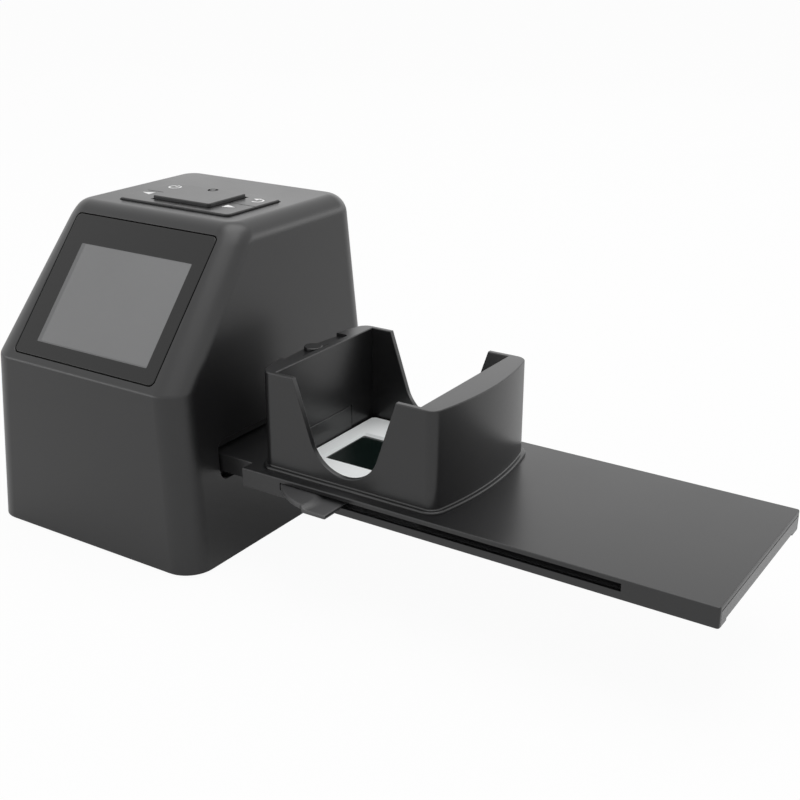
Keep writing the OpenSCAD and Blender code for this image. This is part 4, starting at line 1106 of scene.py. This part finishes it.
class SCANNER_OT_pusher(Operator):
    """The pusher's plate with its thumb tab."""
    bl_idname = "scanner.pusher"
    bl_label = "Pusher"

    def execute(self, context):
        outline = round_rect(PUSHER_LOW[0], PUSHER_HIGH[0], MOUNT_LOW[1], MOUNT_HIGH[1],
                             PLATE_R)
        z0, z1 = PUSHER_LOW[2] + TAB_LOW, PUSHER_HIGH[2] - FLANK_UP
        plate = prism(outline, edge_profile(z0, z1, PLATE_EDGE, PLATE_EDGE))
        # The pusher's lighter colour is partly painted light on the thumb tab and flank
        plastic = grained("pusher_tone_and_light", look().pusher_tone_and_light_colour, PUSHER_ROUGH)
        add_piece("pusher_plate", joined(plate, stack(tab_sections(TAB_EDGE))), plastic,
                  "slide_pusher", "feeder_black", "pusher")
        return {"FINISHED"}


# ----- Slide -----

class SCANNER_OT_slide(Operator):
    """The white slide mount and its dark film."""
    bl_idname = "scanner.slide"
    bl_label = "Slide"

    def execute(self, context):
        white = finish("mount_white", look().mount_colour, **MOUNT_FINISH)
        width = MOUNT_HIGH[0] - MOUNT_LOW[0]
        outer = centred_rect(width, width, MOUNT_R) + [WELL_X, WELL_Y]
        inner = centred_rect(*MOUNT_HOLE, HOLE_R) + [WELL_X, WELL_Y]
        for name in ("mount_lower", "mount_upper"):
            low, high = local_box(f"slide_{name}")
            solid = chamfered(outer, inner, low[2] + MOUNT_SHY, high[2] - MOUNT_SHY)
            add_piece(name, solid, white, "slide", "slide_white", f"slide_{name}")
        dress(["slide_film"], finish("film_dark", **FILM_FINISH))
        return {"FINISHED"}


# ----- Inner and hidden pieces -----

# Each finish: name, colour, roughness, its other settings and the frame nodes that take it
INNER_FINISHES = (
    ("foot_rubber", (0.014, 0.014, 0.014), 0.8, {"grain": 0.0004, "depth": 0.00003},
     ["rubber_feet"]),
    ("screw_steel", (0.42, 0.42, 0.43), 0.32, {"grain": 0.0008, "depth": 0.00001, "metal": 1.0},
     ["base_screws", "lcd_screws", "key_board_screws", "main_board_screws", "gate_screws",
      "feeder_screws", "detent_springs"]),
    ("socket_plating", (0.55, 0.55, 0.56), 0.25, {"patch": 0.003, "metal": 1.0},
     ["usb_socket", "card_slot"]),
    ("board_mask", (0.012, 0.10, 0.05), 0.35, {"grain": 0.0012, "depth": 0.00001, "shift": 0.15},
     ["key_board", "main_board", "sensor_board"]),
    ("light_white", (0.78, 0.78, 0.76), 0.6, {"grain": 0.0008, "depth": 0.00001},
     ["light_box", "led_board"]),
    ("lamp_phosphor", (0.80, 0.62, 0.18), 0.5, {"grain": 0.0006, "depth": 0.00001},
     ["light_leds"]),
    ("diffuser_acrylic", (0.85, 0.85, 0.84), 0.45, {"patch": 0.01}, ["diffuser"]),
    ("lens_glass", (0.75, 0.80, 0.90), 0.03, {"patch": 0.01, "through": 1.0, "ior": 1.52},
     ["lens_glass"]),
    ("sensor_face", (0.02, 0.02, 0.04), 0.15, {"patch": 0.002}, ["image_sensor"]),
    ("inner_black", (0.012, 0.012, 0.013), 0.6, {"grain": 0.0008, "depth": 0.00001},
     ["lcd_panel", "lcd_bracket", "tact_switches", "video_jack", "gate_base", "gate_top",
      "camera_chamber", "lens_holder", "lens_barrel"]),
)


class SCANNER_OT_inner_pieces(Operator):
    """Finishes of the base, the feet, the boards, the sockets and the camera."""
    bl_idname = "scanner.inner_pieces"
    bl_label = "Inner pieces"

    def execute(self, context):
        dress(["base_plate"], grained("base_plastic", BASE_COLOUR, BASE_ROUGH))
        for name, colour, rough, settings, nodes in INNER_FINISHES:
            dress(nodes, finish(name, colour, rough, **settings))
        return {"FINISHED"}


# ----- Stage -----

CAMERA_PLACE = (247.5, -260.9, 200.4)
# Degrees to the left, down and rolled
CAMERA_TURN = (32.945, 21.354, 0.177)
LENS = 56.94
SENSOR_W = 36.0
CLIP_START = 0.01
FLOOR_HALF = 4.0
FLOOR_COLOUR = (0.8, 0.8, 0.8, 1)
FLOOR_ROUGH = 0.9
SKY_LEVEL = 0.55
# How white the camera, and mirrors and glass, see the floor and the world
FLOOR_SEEN = (0.95, 0.20)
WORLD_SEEN = (1.0, 1.0)
LAMP_TARGET = (0.0, 0.0, 0.03)
# Each lamp's place, width, depth and share of the lamp power, in metres
LAMPS = {
    "top_lamp": ((0.06, 0.02, 1.0), 1.0, 0.8, 1.0),
    "back_lamp": ((-0.30, 1.08, 0.38), 1.4, 0.4, 0.12),
    "right_lamp": ((0.80, 1.05, 0.40), 0.8, 0.3, 0.22),
    "front_strip": ((-0.98, -1.05, 0.26), 1.0, 0.14, 0.34),
}


def camera_matrix(place, yaw, pitch, roll):
    """A camera that looks along +Y turned by yaw to the left, down by pitch, then rolled."""
    y, p, r = (math.radians(v) for v in (yaw, pitch, roll))
    ahead = Vector((-math.sin(y) * math.cos(p), math.cos(y) * math.cos(p), -math.sin(p)))
    right = Vector((math.cos(y), math.sin(y), 0.0))
    up = right.cross(ahead)
    x = math.cos(r) * right + math.sin(r) * up
    z = -math.sin(r) * right + math.cos(r) * up
    turn = Matrix((x, z, -ahead)).transposed().to_4x4()
    return Matrix.Translation(place) @ turn


def add_camera(scene):
    """The camera at its place by the tower's foot corner."""
    data = bpy.data.cameras.new("camera")
    data.lens = LENS
    data.sensor_width = SENSOR_W
    data.clip_start = CLIP_START
    scene.camera = linked("camera", data)
    scene.camera.matrix_world = camera_matrix(row_points(CAMERA_PLACE), *CAMERA_TURN)


def add_lamp(name, place, width, depth, power):
    """A rectangular lamp that faces the target."""
    light = bpy.data.lights.new(name, "AREA")
    light.shape = "RECTANGLE"
    light.size = width
    light.size_y = depth
    light.energy = power
    obj = linked(name, light)
    obj.location = place
    ahead = Vector(LAMP_TARGET) - Vector(place)
    obj.rotation_euler = ahead.to_track_quat("-Z", "Y").to_euler()


def seen_white(tree, shader, white, by_camera, by_mirror):
    """Mixes a plain white into what the camera, and mirrors and glass, see of a surface."""
    nodes, links = tree.nodes, tree.links
    path = nodes.new("ShaderNodeLightPath")

    def join(operation, first, second):
        node = nodes.new("ShaderNodeMath")
        node.operation = operation
        links.new(first, node.inputs[0])
        if isinstance(second, float):
            node.inputs[1].default_value = second
        else:
            links.new(second, node.inputs[1])
        return node.outputs[0]

    mirror = join("MAXIMUM", path.outputs["Is Glossy Ray"], path.outputs["Is Transmission Ray"])
    seen = join("MULTIPLY", path.outputs["Is Camera Ray"], by_camera)
    mix = nodes.new("ShaderNodeMixShader")
    links.new(join("MAXIMUM", seen, join("MULTIPLY", mirror, by_mirror)), mix.inputs["Fac"])
    links.new(shader, mix.inputs[1])
    links.new(white, mix.inputs[2])
    return mix.outputs[0]


def add_floor():
    """A pale square floor at height 0."""
    mesh = bpy.data.meshes.new("floor")
    corners = FLOOR_HALF * np.array([[-1, -1, 0], [1, -1, 0], [1, 1, 0], [-1, 1, 0]])
    mesh.from_pydata(corners.tolist(), [], [(0, 1, 2, 3)])
    linked("floor", mesh)
    pale = bpy.data.materials.new("pale_floor")
    pale.use_nodes = True
    tree = pale.node_tree
    shader = tree.nodes["Principled BSDF"]
    shader.inputs["Base Color"].default_value = FLOOR_COLOUR
    shader.inputs["Roughness"].default_value = FLOOR_ROUGH
    glow = tree.nodes.new("ShaderNodeEmission")
    glow.inputs["Strength"].default_value = 1.0
    seen = seen_white(tree, shader.outputs[0], glow.outputs[0], *FLOOR_SEEN)
    tree.links.new(seen, tree.nodes["Material Output"].inputs["Surface"])
    mesh.materials.append(pale)


def add_world(scene):
    """An even sky that is white to the camera."""
    world = bpy.data.worlds.new("studio")
    scene.world = world
    world.use_nodes = True
    tree = world.node_tree
    sky = tree.nodes["Background"]
    white = tree.nodes.new("ShaderNodeBackground")
    for node, level in ((sky, SKY_LEVEL), (white, 1.0)):
        node.inputs["Color"].default_value = (1, 1, 1, 1)
        node.inputs["Strength"].default_value = level
    seen = seen_white(tree, sky.outputs[0], white.outputs[0], *WORLD_SEEN)
    tree.links.new(seen, tree.nodes["World Output"].inputs["Surface"])


class SCANNER_OT_stage(Operator):
    """Camera, pale floor, soft lamps and the world."""
    bl_idname = "scanner.stage"
    bl_label = "Stage"

    def execute(self, context):
        scene = bpy.context.scene
        scene.view_settings.view_transform = "Standard"
        add_camera(scene)
        add_floor()
        add_world(scene)
        for name, (place, width, depth, share) in LAMPS.items():
            add_lamp(name, place, width, depth, look().lamp_power * share)
        return {"FINISHED"}


# ----- Panel and registration -----

class SCANNER_PT_tools(Panel):
    """The scanner's sizes, colours and build steps."""
    bl_idname = "SCANNER_PT_tools"
    bl_label = "Film scanner"
    bl_space_type = "VIEW_3D"
    bl_region_type = "UI"
    bl_category = "Scanner"

    def draw(self, context):
        column = self.layout.column()
        for name in ScannerLook.__annotations__:
            column.prop(context.scene.scanner_look, name)
        for operator in OPERATORS:
            column.operator(operator.bl_idname)


OPERATORS = (
    SCANNER_OT_stage, SCANNER_OT_housing, SCANNER_OT_display, SCANNER_OT_keys,
    SCANNER_OT_tray, SCANNER_OT_hopper, SCANNER_OT_pusher, SCANNER_OT_slide,
    SCANNER_OT_inner_pieces,
)
CLASSES = (ScannerLook, *OPERATORS, SCANNER_PT_tools)


def register():
    for cls in CLASSES:
        bpy.utils.register_class(cls)
    bpy.types.Scene.scanner_look = PointerProperty(type=ScannerLook)


def unregister():
    del bpy.types.Scene.scanner_look
    for cls in reversed(CLASSES):
        bpy.utils.unregister_class(cls)


def main():
    register()
    for operator in OPERATORS:
        group, name = operator.bl_idname.split(".")
        getattr(getattr(bpy.ops, group), name)()


if __name__ == "__main__":
    main()
